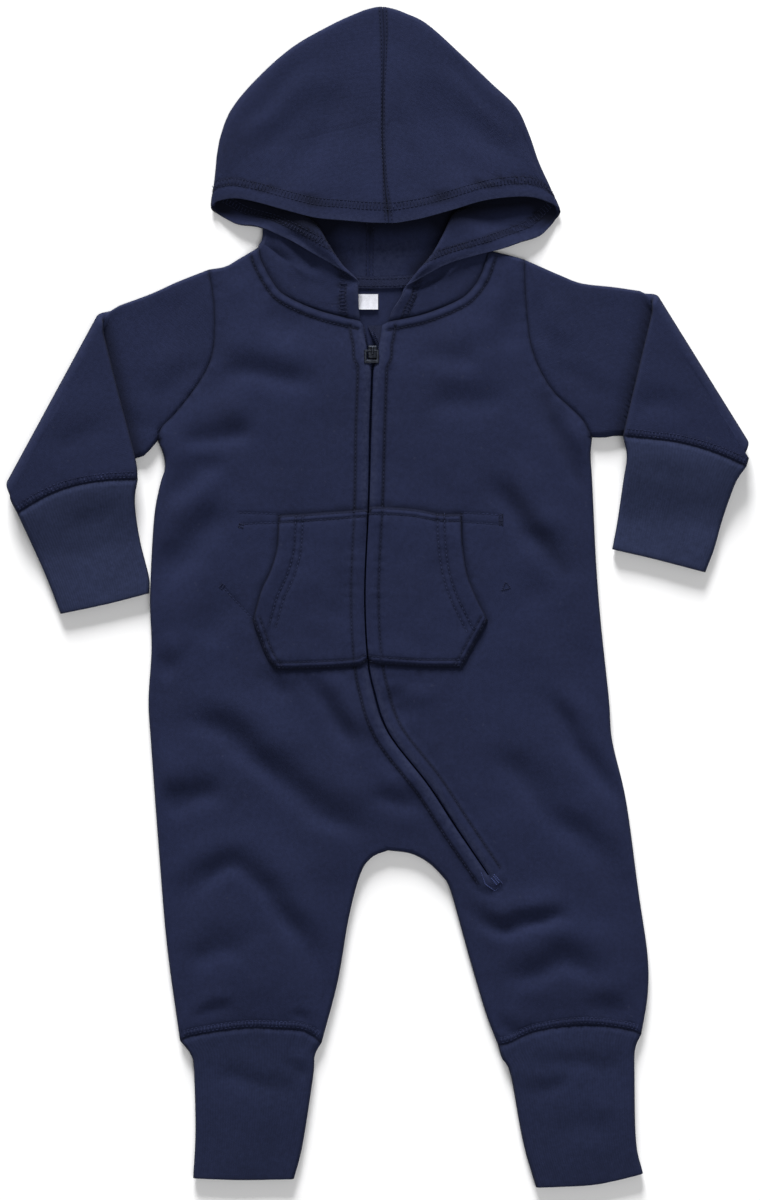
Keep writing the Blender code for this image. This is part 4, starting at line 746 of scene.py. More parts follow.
# Rows of stitches that run on over the front from the corners of the pocket
POCKET_ROWS = [[(-64, 53.5), (-77, 54.2), (-89, 54.5)], [(-64, 48), (-76, 47.8), (-88, 47)],
               [(-82, -13), (-89, -6), (-95, 0.5), (-100.7, 6.7)],
               [(54, 54.5), (67, 54), (79.5, 53)], [(55.5, 48.5), (67, 47.8), (79.3, 46.8)]]
SEAM_ROWS = (1.5, 4.9)   # from a seam of a leg or a sleeve to the two rows of stitches beside it
POCKET_EDGES = [smooth_line(line) for shape in POCKETS.values() for line in shape.values()]
BAND_LINES = off_folds([slit_edge(-1, ZIP_BAND - BAND_ROW), slit_edge(1, ZIP_BAND - BAND_ROW),
                        *(offset(line, NECK_BAND - BAND_ROW) for line in NECK_LINES)])
FAINT_ROWS = off_folds([offset(line, away) for line in LEG_SEAMS for away in SEAM_ROWS])
FAINT_ROWS += [smooth_line(line) for line in POCKET_ROWS]
SEAM_DENT = 1.0          # how deep the cloth dips at a seam
SEAM_SHADE = 0.65         # and how much painted shade darkens the cloth along it
# Deep narrow tucks under the left arm and beside its armhole, where shade is painted on the cloth
TUCKS = [smooth_line([(108, 130), (116, 110), (124, 92), (132, 72)]),
         smooth_line([(86, 70), (104, 44), (120, 20)])]


def front_top(points):
    """Height of the front's outer face with its bands, dents and ripples."""
    zip_away = distance_to(points, SLIT.values())
    neck_away = distance_to(points, NECK_LINES)
    band = np.maximum(ease((ZIP_BAND + 0.5 - zip_away) / 1.2), ease((NECK_BAND + 0.5 - neck_away) / 1.2))
    top = body_top(points) + BAND_RISE * band + uneven(points, 38, 0.75) + uneven(points, 13, 0.27, 5)
    top -= BESIDE_BAND * np.exp(-((zip_away - ZIP_BAND - 2.2) / 2.6) ** 2)
    top += groove(zip_away, 0.9, 0.9)
    for line in BAND_LINES:
        top += pucker(points, line, 7.5, 0.13, 5) + groove(distance_to(points, [line]), 0.75, 1.0)
    top += groove(distance_to(points, FAINT_ROWS), 0.3)
    top += groove(distance_to(points, POCKET_EDGES), 0.4, 1.2)
    for line in DENTED:
        top += pucker(points, line, 9, 0.16, 7) + groove(distance_to(points, [line]), SEAM_DENT, 1.3)
    return top


def painted_shade_along(points, lines, width, amount):
    """Painted shade: how much darker points are coloured along seams, rows of stitches and other lines."""
    return groove(distance_to(points, lines), amount, width)


def beside_rows(line, aways, step=2.4):
    """Points in rows beside a line, at these distances to its left."""
    return [offset(spaced(line, step), away) for away in aways]


slit_points = {side: spaced(SLIT[side], FRONT_STEP) for side in SLIT}
loop = np.vstack([BODY["neck_right"].beside(1), lower_outline(), BODY["neck_left"].beside(1),
                  slit_points["left"], slit_points["right"][::-1]])
rows = []
for line in BAND_LINES + FAINT_ROWS:
    rows += beside_rows(line, (0, -0.8, 0.8, -1.8, 1.9))
for line in POCKET_EDGES:
    rows += beside_rows(line, (0, -0.8, 0.8))
for side, sign in (("right", -1), ("left", 1)):
    rows += beside_rows(SLIT[side], (sign * 0.7, sign * 1.8))
for line in DENTED:
    rows += beside_rows(line, (0.8, 1.7, 3.0))
points, faces = triangulate(loop, filling(loop, FRONT_STEP, rows, edge_rows()))
top = front_top(points)
outer, inner = roll_over(points, top, top - CLOTH, FOLDED_EDGES)
# Paler beside the slit's edges: rubbed wear with a painted highlight
worn = 0.7 * np.exp(-((distance_to(points, SLIT.values()) - 1.6) / 1.2) ** 2)
# Painted shade along seams, tucks, bands, rows of stitches and the pocket's edges
for lines, width, amount in ((DENTED, 1.0, SEAM_SHADE), (TUCKS, 5.0, 0.3), (BAND_LINES, 1.0, 1.1),
                             (FAINT_ROWS, 0.8, 0.3), (POCKET_EDGES, 1.1, 0.8)):
    worn += painted_shade_along(points, lines, width, amount)
front = wall("front_panel", outer, inner, faces, fleece, points, worn=worn)


def thread_material(name, dark, light):
    """Matt sewing thread with its twist, in the cloth's own colour made darker or lighter."""
    material, shader, place, _, _ = new_material(name, 0.8, sheen=0.02)
    twist = place.noise(0.0004, 2.0)
    tone = place.noise(0.012, 2.0) * 0.6 + twist * 0.4
    colour = tone.between(0.3, 0.7).mix(shaded(NAVY, dark), shaded(NAVY, light))
    surfaced(shader, colour, twist, 0.00008)
    return material


thread = thread_material("navy thread", 0.45, 1.1)
pale_thread = thread_material("rubbed navy thread", 0.7, 1.8)


def socket_of(tree, name):
    """The identifier of a tree's named input."""
    return next(item.identifier for item in tree.interface.items_tree if item.name == name)


def repeat_tree(name, sizes, build):
    """A Geometry Nodes tree with named sizes that puts a small mesh along lines and ends in a material."""
    tree = bpy.data.node_groups.new(name, "GeometryNodeTree")
    tree.interface.new_socket("Lines", in_out="INPUT", socket_type="NodeSocketGeometry")
    for size in sizes:
        tree.interface.new_socket(size, in_out="INPUT", socket_type="NodeSocketFloat")
    tree.interface.new_socket("Finish", in_out="INPUT", socket_type="NodeSocketMaterial")
    tree.interface.new_socket("Mesh", in_out="OUTPUT", socket_type="NodeSocketGeometry")
    start, end = tree.nodes.new("NodeGroupInput"), tree.nodes.new("NodeGroupOutput")
    given = {item.name: Value(item) for item in start.outputs if item.name}
    first = given["Lines"]
    curve = first.node("GeometryNodeMeshToCurve", (), {0: first})
    spots = curve.node("GeometryNodeCurveToPoints", {"mode": "LENGTH"},
                       {0: curve, "Length": given["Pitch"]})
    tangent = Value(spots.socket.node.outputs["Tangent"])
    turned = tangent.node("FunctionNodeAlignRotationToVector", {"axis": "X"}, {"Vector": tangent})
    shape, scale = build(given)
    placed = spots.node("GeometryNodeInstanceOnPoints", (), {
        "Points": spots, "Instance": shape, "Rotation": turned, "Scale": scale})
    real = placed.node("GeometryNodeRealizeInstances", (), {0: placed})
    smooth = real.node("GeometryNodeSetShadeSmooth", (), {0: real})
    done = smooth.node("GeometryNodeSetMaterial", (), {0: smooth, "Material": given["Finish"]})
    tree.links.new(done.socket, end.inputs[0])
    return tree


def stitch_shape(given):
    """A stitch is a small ball drawn out along the row."""
    ball = given["Pitch"].node("GeometryNodeMeshUVSphere", (), {"Segments": 6, "Rings": 4, "Radius": 0.5})
    scale = ball.node("ShaderNodeCombineXYZ", (),
                      {0: given["Length"], 1: given["Width"], 2: given["Thread"]})
    return ball, scale


stitch_tree = repeat_tree("stitch rows", ("Pitch", "Length", "Width", "Thread"), stitch_shape)


def repeated(name, tree, lines, finish, **sizes):
    """A plain mesh of what a tree repeats along the lines, which are rows of points in millimetres."""
    lines = list(lines)
    starts = np.cumsum([0] + [len(line) for line in lines])
    edges = [(int(k), int(k) + 1) for start, line in zip(starts, lines)
             for k in range(start, start + len(line) - 1)]
    mesh = bpy.data.meshes.new(name)
    mesh.from_pydata((np.vstack(lines) * MM).tolist(), edges, [])
    made = in_scene(name, mesh)
    modifier = made.modifiers.new("rows", "NODES")
    modifier.node_group = tree
    modifier[socket_of(tree, "Finish")] = finish
    for size, value in sizes.items():
        modifier[socket_of(tree, size)] = value * MM
    plain = bpy.data.meshes.new_from_object(made.evaluated_get(bpy.context.evaluated_depsgraph_get()))
    made.modifiers.clear()
    made.data = plain
    bpy.data.meshes.remove(mesh)
    return made


def stitches(name, lines, finish=thread, pitch=2.7, length=2.2, width=0.5, high=0.45):
    """Rows of stitches that ride with the garment."""
    made = repeated(name, stitch_tree, lines, finish, Pitch=pitch, Length=length, Width=width, Thread=high)
    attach(made, "garment")
    return made


def loops(name, lines, width=3.2, finish=pale_thread):
    """The threads that cross between two rows of stitches, as many as there are stitches."""
    return stitches(name, lines, finish, 2.2, 0.55, width, 0.4)


def on_front(line, lift=0.08):
    """A line in the plan, laid on the front."""
    line = spaced(np.array(line), 1.5)
    return np.column_stack([line, front_top(line) + lift])


def tack(middle, direction, width, rows):
    """A bar tack: short stitches close together across a line."""
    way = np.array(direction, float) / np.linalg.norm(direction)
    half = np.array([-way[1], way[0]]) * 0.9
    middles = [middle + way * at for at in np.linspace(-width / 2, width / 2, rows)]
    return [np.array([point - half, point + half]) for point in middles]


# Sewn ends: the loop of stitches below the zip, the bar tacks beside it and by the pocket's corners, and
# a small triangle of stitches below the pocket's mouth on the left
ZIP_END = [(67, -179), (69.5, -186), (76, -190.5), (80.5, -185.5), (75.5, -180)]
ZIP_TACK = tack((75.8, -183.6), (0.62, -0.78), 5.0, 6)
POCKET_TACKS = [*tack((-88.6, 46.2), (1, -0.3), 3.0, 5), *tack((-101, 7), (0.6, 0.8), 3.0, 4),
                *tack((79.6, 50), (0, 1), 7.0, 9), *tack((79.4, 48.4), (1, 0), 2.2, 4)]
TRIANGLE = [(80.5, 4.5), (82.6, 10), (86, 5.8), (80.5, 4.5)]
TACK_THREAD = {"pitch": 1.3, "length": 1.5, "width": 0.7, "high": 0.6}
between = off_folds([offset(line, sum(SEAM_ROWS) / 2) for line in LEG_SEAMS])
sewing = [
    stitches("front_topstitching", map(on_front, BAND_LINES)),
    stitches("front_double_rows", map(on_front, FAINT_ROWS), pale_thread),
    loops("front_loops", map(on_front, between)),
    stitches("front_tacks", map(on_front, (TRIANGLE, *POCKET_TACKS)), thread, **TACK_THREAD),
    stitches("zip_tack", map(on_front, (ZIP_END, *ZIP_TACK)), thread_material("tack thread", 1.8, 4.0),
             **TACK_THREAD),
]
dressed(front, "front")

# ---------------------------------------------------------------- pocket
# The kangaroo pocket is cut in two by the zip. Each half is sewn down along its top, slanted lower
# corner and bottom; the curved mouth is turned in, topstitched twice and stands a little open.

THREAD_LIFT = 0.12       # how far the middle of a thread is above the cloth
MOUTH_LIFT = 1.2         # how far a pocket's mouth stands off the front
MOUTH_REACH = 9.0        # and how far into the pocket that reaches
MOUTH_END = 18.0         # length over which it rises from the mouth's two ends
POCKET_HEM = (11.0, 15.5)    # from the mouth to the two rows of its hem
POCKET_SEWN = (1.3, 4.8)     # from the other edges to the two rows along them


def pocket_lift(points, mouth):
    """How far a pocket's lower face stands off the front."""
    lift = MOUTH_LIFT * np.exp(-(distance_to(points, [mouth]) / MOUTH_REACH) ** 2)
    ends = np.min([np.linalg.norm(points - end, axis=1) for end in mouth[[0, -1]]], axis=0)
    return SEAM_GAP + lift * ease(ends / MOUTH_END)


for side, sign in (("right", 1), ("left", -1)):
    shape = {key: smooth_line(line) for key, line in POCKETS[side].items()}
    slit = SLIT[side]
    slit = slit[(slit[:, 1] < shape["top"][0, 1]) & (slit[:, 1] > shape["bottom"][-1, 1])]
    ends = [np.vstack([slit[:1], shape["top"][1:]]), shape["mouth"], shape["slant"],
            np.vstack([shape["bottom"][:-1], slit[-1:]]), slit[::-1]]
    loop = np.vstack([spaced(line, 2.2)[:-1] for line in ends])
    mouth = shape["mouth"]
    hem_lines = [offset(mouth, sign * away) for away in POCKET_HEM]
    sewn = [offset(shape[key], sign * away) for key in ("top", "slant", "bottom") for away in POCKET_SEWN]
    sewn.append(offset(slit, -sign * (ZIP_BAND - BAND_ROW)))
    rows = []
    for line in hem_lines + sewn:
        rows += beside_rows(line, (0, -0.8, 0.8, -1.8, 1.8), 2.0)
    rows += beside_rows(mouth, (sign * 0.5, sign * 1.1, sign * 1.8), 2.0)
    points, faces = triangulate(loop, filling(loop, 2.6, rows))
    base = front_top(points) + pocket_lift(points, mouth)
    edge = distance_to(points, ends[:1] + ends[2:4])
    mouth_away = distance_to(points, [mouth])
    top = base + CLOTH + uneven(points, 16, 0.35, 9) * ease(edge / 8)
    top += 0.35 * ease((POCKET_HEM[0] + 1 - mouth_away) / 1.5)
    top -= 1.15 * np.exp(-(edge / 1.5) ** 2) + 0.9 * np.exp(-(mouth_away / 0.9) ** 2)
    for line in hem_lines + sewn:
        top += groove(distance_to(points, [line]), 0.4) + pucker(points, line, 6.5, 0.12, 4)
    # Painted shade along the hem's rows, the sewn rows and the edges where the pocket meets the front
    worn = painted_shade_along(points, hem_lines, 0.8, 0.6) + painted_shade_along(points, sewn, 0.9, 0.75)
    worn += painted_shade_along(points, ends[:4], 0.8, 0.75)
    pocket = wall(f"pocket_{side}_half", np.column_stack([points, top]), np.column_stack([points, base]),
                  faces, fleece, points, worn=worn)
    lines = []
    tree = plan_tree(points)
    for line in hem_lines + sewn:
        line = spaced(line, 1.3)
        line = line[inside(line, loop)]
        height = [top[tree.find((*point, 0))[1]] + THREAD_LIFT for point in line]
        lines.append(np.column_stack([line, height]))
    sewing = [stitches(f"pocket_{side}_hem_stitching", lines[:2], pale_thread),
              stitches(f"pocket_{side}_topstitching", lines[2:-1]),
              stitches(f"pocket_{side}_band_stitching", lines[-1:])]
    dressed(pocket, f"pocket_{side}")

# ---------------------------------------------------------------- sleeves
# Each sleeve is one piece folded round with its seam under the arm. It lies on the surface as far as
# the elbow, where it folds, and the forearm comes back over the upper arm and down beside it.

SLEEVES = {
    "right": {
        "top": [(-110, 212.5), (-131.5, 204), (-148, 196.5), (-181, 184.5)],
        "under": [(-143, 101.5), (-149.5, 94), (-157, 90), (-197, 82), (-241.5, 73)],
        "inner": [(-181, 184.5), (-168, 132), (-157, 89.5), (-155.5, 76)],
        "outer": [(-241.5, 73), (-238, 63), (-233.5, 54)],
        "cuff_seam": [(-155.5, 76), (-175.5, 75), (-196.5, 71.5), (-214.5, 65), (-233.5, 54)],
        "cuff_inner": [(-155.5, 76), (-157.5, 61), (-154.5, 37), (-148.6, 13), (-148.4, 2.5)],
        "cuff_outer": [(-233.5, 54), (-223, 30.5), (-214.5, 11), (-206, -11)],
        "hem": [(-148.4, 2.5), (-175.5, -4.5), (-206, -11)],
    },
    "left": {
        "top": [(95, 219), (119, 208.5), (132.5, 203.5), (154, 201), (180.5, 197)],
        "under": [(139, 103.5), (147.5, 103.5), (158, 104.5), (199.5, 102), (241, 99.5)],
        "inner": [(180.5, 197), (168.5, 147), (158.5, 104)],
        "outer": [(241, 99.5), (240.5, 91.5), (238.5, 84.5)],
        "cuff_seam": [(158.5, 104), (177, 102), (195.5, 99.5), (217, 93.5), (238.5, 84.5)],
        "cuff_inner": [(158.5, 104), (161, 91), (159, 76), (155.5, 50), (152, 31)],
        "cuff_outer": [(238.5, 84.5), (231.5, 73.5), (223.5, 50), (218.5, 32), (212.5, 16)],
        "hem": [(152, 31), (180, 24.5), (212.5, 16)],
    },
}
FOREARM_DROP = 48.0      # length over which the forearm comes down from the upper arm
FOREARM_START = 10.0     # where that begins, below the under arm
BEND_CLEAR = 12.0        # distance from the elbow over which the forearm stays up
SLEEVE_CELLS = 30        # across a sleeve
CUFF_SIDE = {"right": -1, "left": 1}
# Folds of the sleeves' upper faces. Columns: points along the trough, its half width and depth
SLEEVE_FOLDS = [
    ([(-112, 158), (-126, 142), (-146, 126)], 7.5, 0.7),
    ([(-122, 200), (-134, 176), (-140, 152)], 8.5, 0.6),
    ([(-144, 104), (-158, 110), (-172, 124)], 7.0, 0.7),
    ([(-166, 112), (-190, 104), (-216, 92)], 9.5, 0.7),
    ([(102, 200), (105, 180), (112, 158)], 5.0, 1.6),
    ([(116, 152), (130, 140), (142, 124)], 7.0, 0.7),
    ([(158, 116), (182, 124), (206, 116)], 8.0, 0.8),
]


def joined(start, line, end):
    """A line from start to end that follows the given line in between."""
    near = [np.linalg.norm(line - point, axis=1).argmin() for point in (start, end)]
    run = lengths(line)
    kept = (run > run[near[0]] + 2) & (run < run[near[1]] - 2)
    return np.vstack([start, line[kept], end])


def patch(start, end, side_a, side_b, rows):
    """Lines across a four-sided piece of cloth, from its start to its end."""
    a = np.linspace(0, 1, 65)[:, None]
    start, end = (along(line, a[:, 0] * lengths(line)[-1]) for line in (start, end))
    side_a = joined(start[0], side_a, end[0])
    side_b = joined(start[-1], side_b, end[-1])
    lines = []
    for s in rows:
        at_a, at_b = (along(line, [s * lengths(line)[-1]])[0] for line in (side_a, side_b))
        across = (1 - s) * start + s * end
        straight = (1 - a) * across[0] + a * across[-1]
        lines.append(across - straight + (1 - a) * at_a + a * at_b)
    return lines


def ring(line, cells, seam=None, share=0.0):
    """Outer and inner points round a flattened tube at a line across it: over the top, then below."""
    total = lengths(line)[-1]
    turns = np.linspace(0, math.pi / 2, ROLL_PARTS + 1)[:-1]
    middle = np.linspace(ROLL, total - ROLL, cells + 1)
    lift = np.concatenate([np.sin(turns), np.ones(cells + 1), np.sin(turns[::-1])])
    made = []
    for face, radius in (("outer", ROLL), ("inner", ROLL - CLOTH)):
        near = ROLL - radius * np.cos(turns)
        places = np.concatenate([near, middle, total - near[::-1]])
        if seam is not None:
            places = (1 - share) * places + share * seam[face] * total
        plan = along(line, places)
        layers = [np.column_stack([plan, ROLL + sign * radius * lift]) for sign in (1, -1)]
        made.append(np.vstack([layers[0], layers[1][-2:0:-1]]))
    return made


def shares(stretch, cells, turned=False):
    """Where the two faces' points stand along a seam with the body, as shares of its length."""
    total = lengths(stretch.line)[-1]
    found = {}
    for face, places in stretch.places.items():
        start, end = places[:ROLL_PARTS + 1], places[-ROLL_PARTS - 1:]
        middle = np.linspace(start[-1], end[0], cells + 1)[1:-1]
        places = np.concatenate([start, middle, end]) / total
        found[face] = 1 - places[::-1] if turned else places
    return found


def upper_share(points, middle):
    """1 on the upper face of a flattened tube, 0 on its lower one."""
    return ease((points[:, 2] - middle) / ROLL)


def grid_faces(rows, columns):
    """The four-sided cells of a grid of points."""
    return [[r * columns + c, r * columns + c + 1, (r + 1) * columns + c + 1, (r + 1) * columns + c]
            for r in range(rows - 1) for c in range(columns - 1)]


def tube(name, rings, material, worn):
    """A closed tube of cloth from rings of outer and inner points, with its weave along its length."""
    outer, inner = np.array(rings).transpose(1, 0, 2, 3)
    rows, columns = outer.shape[:2]
    wide = np.concatenate([outer, outer[:, :1]], axis=1)
    across = np.cumsum(np.linalg.norm(np.diff(wide, axis=1), axis=2), axis=1).mean(0)
    up = np.cumsum(np.linalg.norm(np.diff(wide, axis=0), axis=2), axis=0).mean(1)
    across, up = np.concatenate([[0], across]), np.concatenate([[0], up])
    weave = np.stack(np.meshgrid(across, up), axis=2).reshape(-1, 2)
    wide_columns = columns + 1
    corners = grid_faces(rows, wide_columns)
    faces = [[k // wide_columns * columns + k % wide_columns % columns for k in corner]
             for corner in corners]
    return wall(name, outer.reshape(-1, 3), inner.reshape(-1, 3), faces, material, weave, corners, worn)


def distance_past(points, line, towards):
    """Distance of points past a straight line, on the side that the vector towards points to."""
    run = (line[1] - line[0]) / np.linalg.norm(line[1] - line[0])
    normal = np.array([-run[1], run[0]])
    normal *= np.sign(normal @ np.array(towards, float))
    return (points[:, :2] - line[0]) @ normal


def forearm_lift(points, shape):
    """How far the forearm lies above the surface: as high as the upper arm under it, then down to it."""
    fold = np.array([shape["top"][-1], shape["under"][-1]], float)
    under = np.array([shape["under"][2], shape["under"][-1]], float)
    below = distance_past(points, under, (0, -1))
    past_bend = distance_past(points, fold, fold[0] * (-1, 0)) - EDGE_HEIGHT
    return (EDGE_HEIGHT + SEAM_GAP) * (1 - ease((below - FOREARM_START) / FOREARM_DROP)
                                      * ease(past_bend / BEND_CLEAR))


def rumpled(points, middle, folds, seams, covered=None, crease=None):
    """A tube's points with creases in its upper face and dents at its seams.

    covered is the outline of what lies on it, and crease the edge of that.
    """
    plan = points[:, :2]
    height = fold_height(plan, folds) + uneven(points, 32, 0.6, 2) + uneven(points, 8, 0.16, 3)
    for line in seams:
        away = distance_to(plan, [line])
        height += groove(away, SEAM_DENT, 1.3) + pucker(plan, line, 8, 0.2, 7)
    if covered is not None:
        height = np.where(inside(plan, covered), np.minimum(height, -0.3), height)
        height += groove(distance_to(plan, [crease]), 1.8, 4.0)
    moved = points.copy()
    moved[:, 2] += height * upper_share(points, middle)
    return moved


def sleeve_rings(side, armhole):
    """Rings from the armhole to the cuff, each with the part of the sleeve that it is in."""
    shape = {key: smooth_line(points) for key, points in SLEEVES[side].items()}
    top_end, low_end = shape["top"][-1], shape["under"][-1]
    fold_run = (low_end - top_end) / np.linalg.norm(low_end - top_end)
    outward = np.array([fold_run[1], -fold_run[0]])
    ways = [shape[key][-1] - shape[key][-3] for key in ("top", "under")]
    axis = sum(way / np.linalg.norm(way) for way in ways)
    outward *= np.sign(outward @ axis)
    slide = axis / (axis @ outward)
    centre = EDGE_HEIGHT + SEAM_GAP / 2
    half_bend = math.pi / 2 * (centre - EDGE_HEIGHT / 2)
    back = outward * (centre - half_bend)
    fold = np.array([top_end, low_end]) - back
    start = offset(armhole.line, -JOIN / 2)
    seam = shares(armhole, SLEEVE_CELLS, turned=side == "left")
    if side == "left":
        start = start[::-1]
    steps = np.concatenate([[0, 0.01, 0.025], np.linspace(0.05, 1, 22)[:-1]])
    rings = []
    arm = patch(start, fold - half_bend * slide, shape["top"], shape["under"], steps)
    for step, line in zip(steps, arm):
        rings.append((ring(line, SLEEVE_CELLS, seam, 1 - step), "arm"))
    for turn in np.linspace(0, math.pi, 17):
        reach = half_bend * (2 * turn / math.pi - 1)
        turned = []
        for points in ring(fold + reach * slide, SLEEVE_CELLS):
            radius = centre - points[:, 2]
            plan = points[:, :2] + outward * (radius * math.sin(turn) - half_bend - reach)[:, None]
            turned.append(np.column_stack([plan, centre - radius * math.cos(turn)]))
        rings.append((turned, "elbow"))
    start = fold + half_bend * (slide - 2 * outward)
    cuff = offset(shape["cuff_seam"], CUFF_SIDE[side] * JOIN / 2)
    steps = np.concatenate([np.linspace(0, 0.92, 26)[1:], [0.95, 0.965, 0.98, 0.99, 1]])
    for line in patch(start, cuff, shape["inner"], shape["outer"], steps):
        turned = []
        for points in ring(line, SLEEVE_CELLS):
            lift = forearm_lift(points, SLEEVES[side])
            turned.append(np.column_stack([points[:, :2], EDGE_HEIGHT - points[:, 2] + lift]))
        rings.append((turned, "forearm"))
    return rings, shape


def mean_height(pair):
    """Half way between the lowest and the highest point of a ring."""
    heights = np.concatenate([points[:, 2] for points in pair])
    return (heights.min() + heights.max()) / 2


def laid_on(line, points, lift=0.1):
    """A line in the plan, laid on the face that these points belong to."""
    tree = plan_tree(points)
    heights = []
    for point in line:
        near = tree.find_n((*point, 0), 3)
        share = np.array([1 / (away + 0.05) for _, _, away in near])
        heights.append(share @ points[[k for _, k, _ in near], 2] / share.sum() + lift)
    return np.column_stack([line, heights])


for side in ("right", "left"):
    armhole = BODY[f"armhole_{side}"]
    parts, shape = sleeve_rings(side, armhole)
    seams = [armhole.line, shape["cuff_seam"]]
    forearm = np.vstack([shape["inner"], shape["cuff_seam"], shape["outer"][::-1]])
    beside_cuff = [offset(shape["cuff_seam"], CUFF_SIDE[side] * away) for away in SEAM_ROWS]
    rings, worn = [], []
    for pair, part in parts:
        if part == "arm":
            pair = [rumpled(points, ROLL, SLEEVE_FOLDS, seams, forearm, shape["inner"]) for points in pair]
        elif part == "forearm":
            middle = mean_height(pair)
            pair = [rumpled(points, middle, SLEEVE_FOLDS, seams) for points in pair]
        rings.append(pair)
        plan = pair[0][:, :2]
        # Painted shade along the seams
        worn.append(painted_shade_along(plan, seams, 1.0, SEAM_SHADE))
        # Painted shadow that the forearm casts on the upper arm beside its inner edge; painted shade beside
        # the cuff's rows
        if part == "arm":
            worn[-1] += painted_shade_along(plan, [shape["inner"]], 5.0, 0.9)
        else:
            worn[-1] += painted_shade_along(plan, beside_cuff, 0.8, 0.3)
    sleeve = tube(f"sleeve_{side}_arm", rings, fleece, np.concatenate(worn))
    half = len(rings[-1][0]) // 2
    above = np.vstack([pair[0][half:] for pair in rings[-20:]])
    lines = []
    for away in (*SEAM_ROWS, sum(SEAM_ROWS) / 2):
        line = spaced(offset(shape["cuff_seam"], CUFF_SIDE[side] * away), 1.5)[2:-2]
        lines.append(laid_on(line, above))
    sewing = [stitches(f"sleeve_{side}_topstitching", lines[:2], pale_thread),
              loops(f"sleeve_{side}_loops", lines[2:])]
    dressed(sleeve, f"sleeve_{side}")

# ---------------------------------------------------------------- sleeve cuffs
# Long fold-over cuffs in doubled one-by-one jersey rib, sewn round the sleeve's end and overlocked.
# The rib runs along the arm and draws the sleeve in a little.

RIB_PITCH = 0.0017       # from one rib to the next, in metres
NAVY_RIB = (0.0196, 0.0258, 0.0610)
WORN_RIB = (0.028, 0.034, 0.066)
SLEEVE_CUFF = 70.0       # length of a sleeve's cuff
# Folds of the cuffs' upper faces. Columns: points along the trough, its half width and depth
CUFF_FOLDS = [
    ([(-158, 58), (-180, 52), (-210, 42)], 8.0, 0.5),
    ([(164, 86), (190, 80), (218, 74)], 8.0, 0.5),
]


def rib_material(name, colour):
    """One-by-one rib: narrow raised ribs with a dark furrow between them, each a column of loops."""
    material, shader, place, across, up = new_material(name, 0.93, sheen=0.01)
    wander = place.noise(0.03, 2.0) * 0.0012
    rib = ((across + wander) * (1 / RIB_PITCH)).wave()
    loops = (up * (1 / COURSE) + rib * 0.25).wave()
    fuzz = place.noise(0.0006, 3.0, 0.6)
    heather = place.noise(0.0025, 4.0, 0.65)
    broad = place.noise(0.05, 3.0)
    tone = heather * 0.42 + fuzz * 0.25 + broad * 0.28 + rib * 0.03
    colour = tone.between(0.3, 0.7).mix(shaded(colour, 0.72), shaded(colour, 1.22))
    worn = place.node("ShaderNodeAttribute", {"attribute_name": "worn"}, (), 2)
    colour = (worn * 0.3).mix(colour, shaded(WORN_RIB))
    # Painted shade where the wear and shading value is below 0: the seam, the hem's fold and steep faces
    colour = (worn * -0.85).mix(colour, shaded(NAVY, 0.25))
    surfaced(shader, colour, rib * 0.25 + loops * 0.1 + fuzz * 0.9, 0.00010)
    return material


def cuff_painted_shade(steps, length, hem, columns):
    """Painted shade on a cuff's rings: darker at its seam and at the fold of its hem."""
    seam_away, hem_away = steps * length, (1 - steps) * length
    dark = SEAM_SHADE * np.exp(-seam_away ** 2) + hem * np.exp(-(hem_away / 1.3) ** 2)
    return np.repeat(-dark, columns)


arm_rib = rib_material("navy sleeve rib", NAVY_RIB)

for side in ("right", "left"):
    shape = {key: smooth_line(points) for key, points in SLEEVES[side].items()}
    seam = offset(shape["cuff_seam"], -CUFF_SIDE[side] * JOIN / 2)
    rings = []
    steps = np.concatenate([[0, 0.012, 0.03, 0.055], np.linspace(0.09, 0.95, 24), [0.975, 0.99, 1]])
    for line in patch(seam, shape["hem"], shape["cuff_inner"], shape["cuff_outer"], steps):
        pair = [points + np.outer(forearm_lift(points, SLEEVES[side]), (0, 0, 1))
                for points in ring(line, SLEEVE_CELLS)]
        middle = mean_height(pair)
        rings.append([rumpled(points, middle, CUFF_FOLDS, [shape["cuff_seam"]]) for points in pair])
    worn = cuff_painted_shade(steps, SLEEVE_CUFF, 0.8, len(rings[0][0]))
    cuff = tube(f"sleeve_cuff_{side}_rib", rings, arm_rib, worn)
    dressed(cuff, f"sleeve_cuff_{side}")

# ---------------------------------------------------------------- leg cuffs
# The leg cuffs are the same doubled rib, longer and wider, drawn in a little at the seam, so fine
# gathers run down from it.

CUFF_CELLS = 34          # across a leg's cuff
LEG_CUFF = 90.0          # its length
# The same rib as on the sleeves, coloured darker: the difference between the two colours is painted light
# and shade
NAVY_LEG = (0.0122, 0.0164, 0.0432)
LEG_CUFFS = {
    "right": {
        "first": [(-128.5, -288), (-121.5, -297), (-119.5, -307.5), (-118.5, -346.5), (-120, -377)],
        "second": [(-36.5, -289), (-41, -297.5), (-42, -310.5), (-49, -356), (-54.5, -377.5)],
        "hem": [(-120, -377), (-88, -378), (-54.5, -377.5)],
    },
    "left": {
        "first": [(78, -291), (80.5, -299.5), (86, -310), (94, -353), (102.5, -383)],
        "second": [(171, -283.5), (167, -293), (166.5, -307.5), (167.5, -353), (172, -374)],
        "hem": [(102.5, -383), (136.5, -381.5), (154, -378.5), (172, -374)],
    },
}
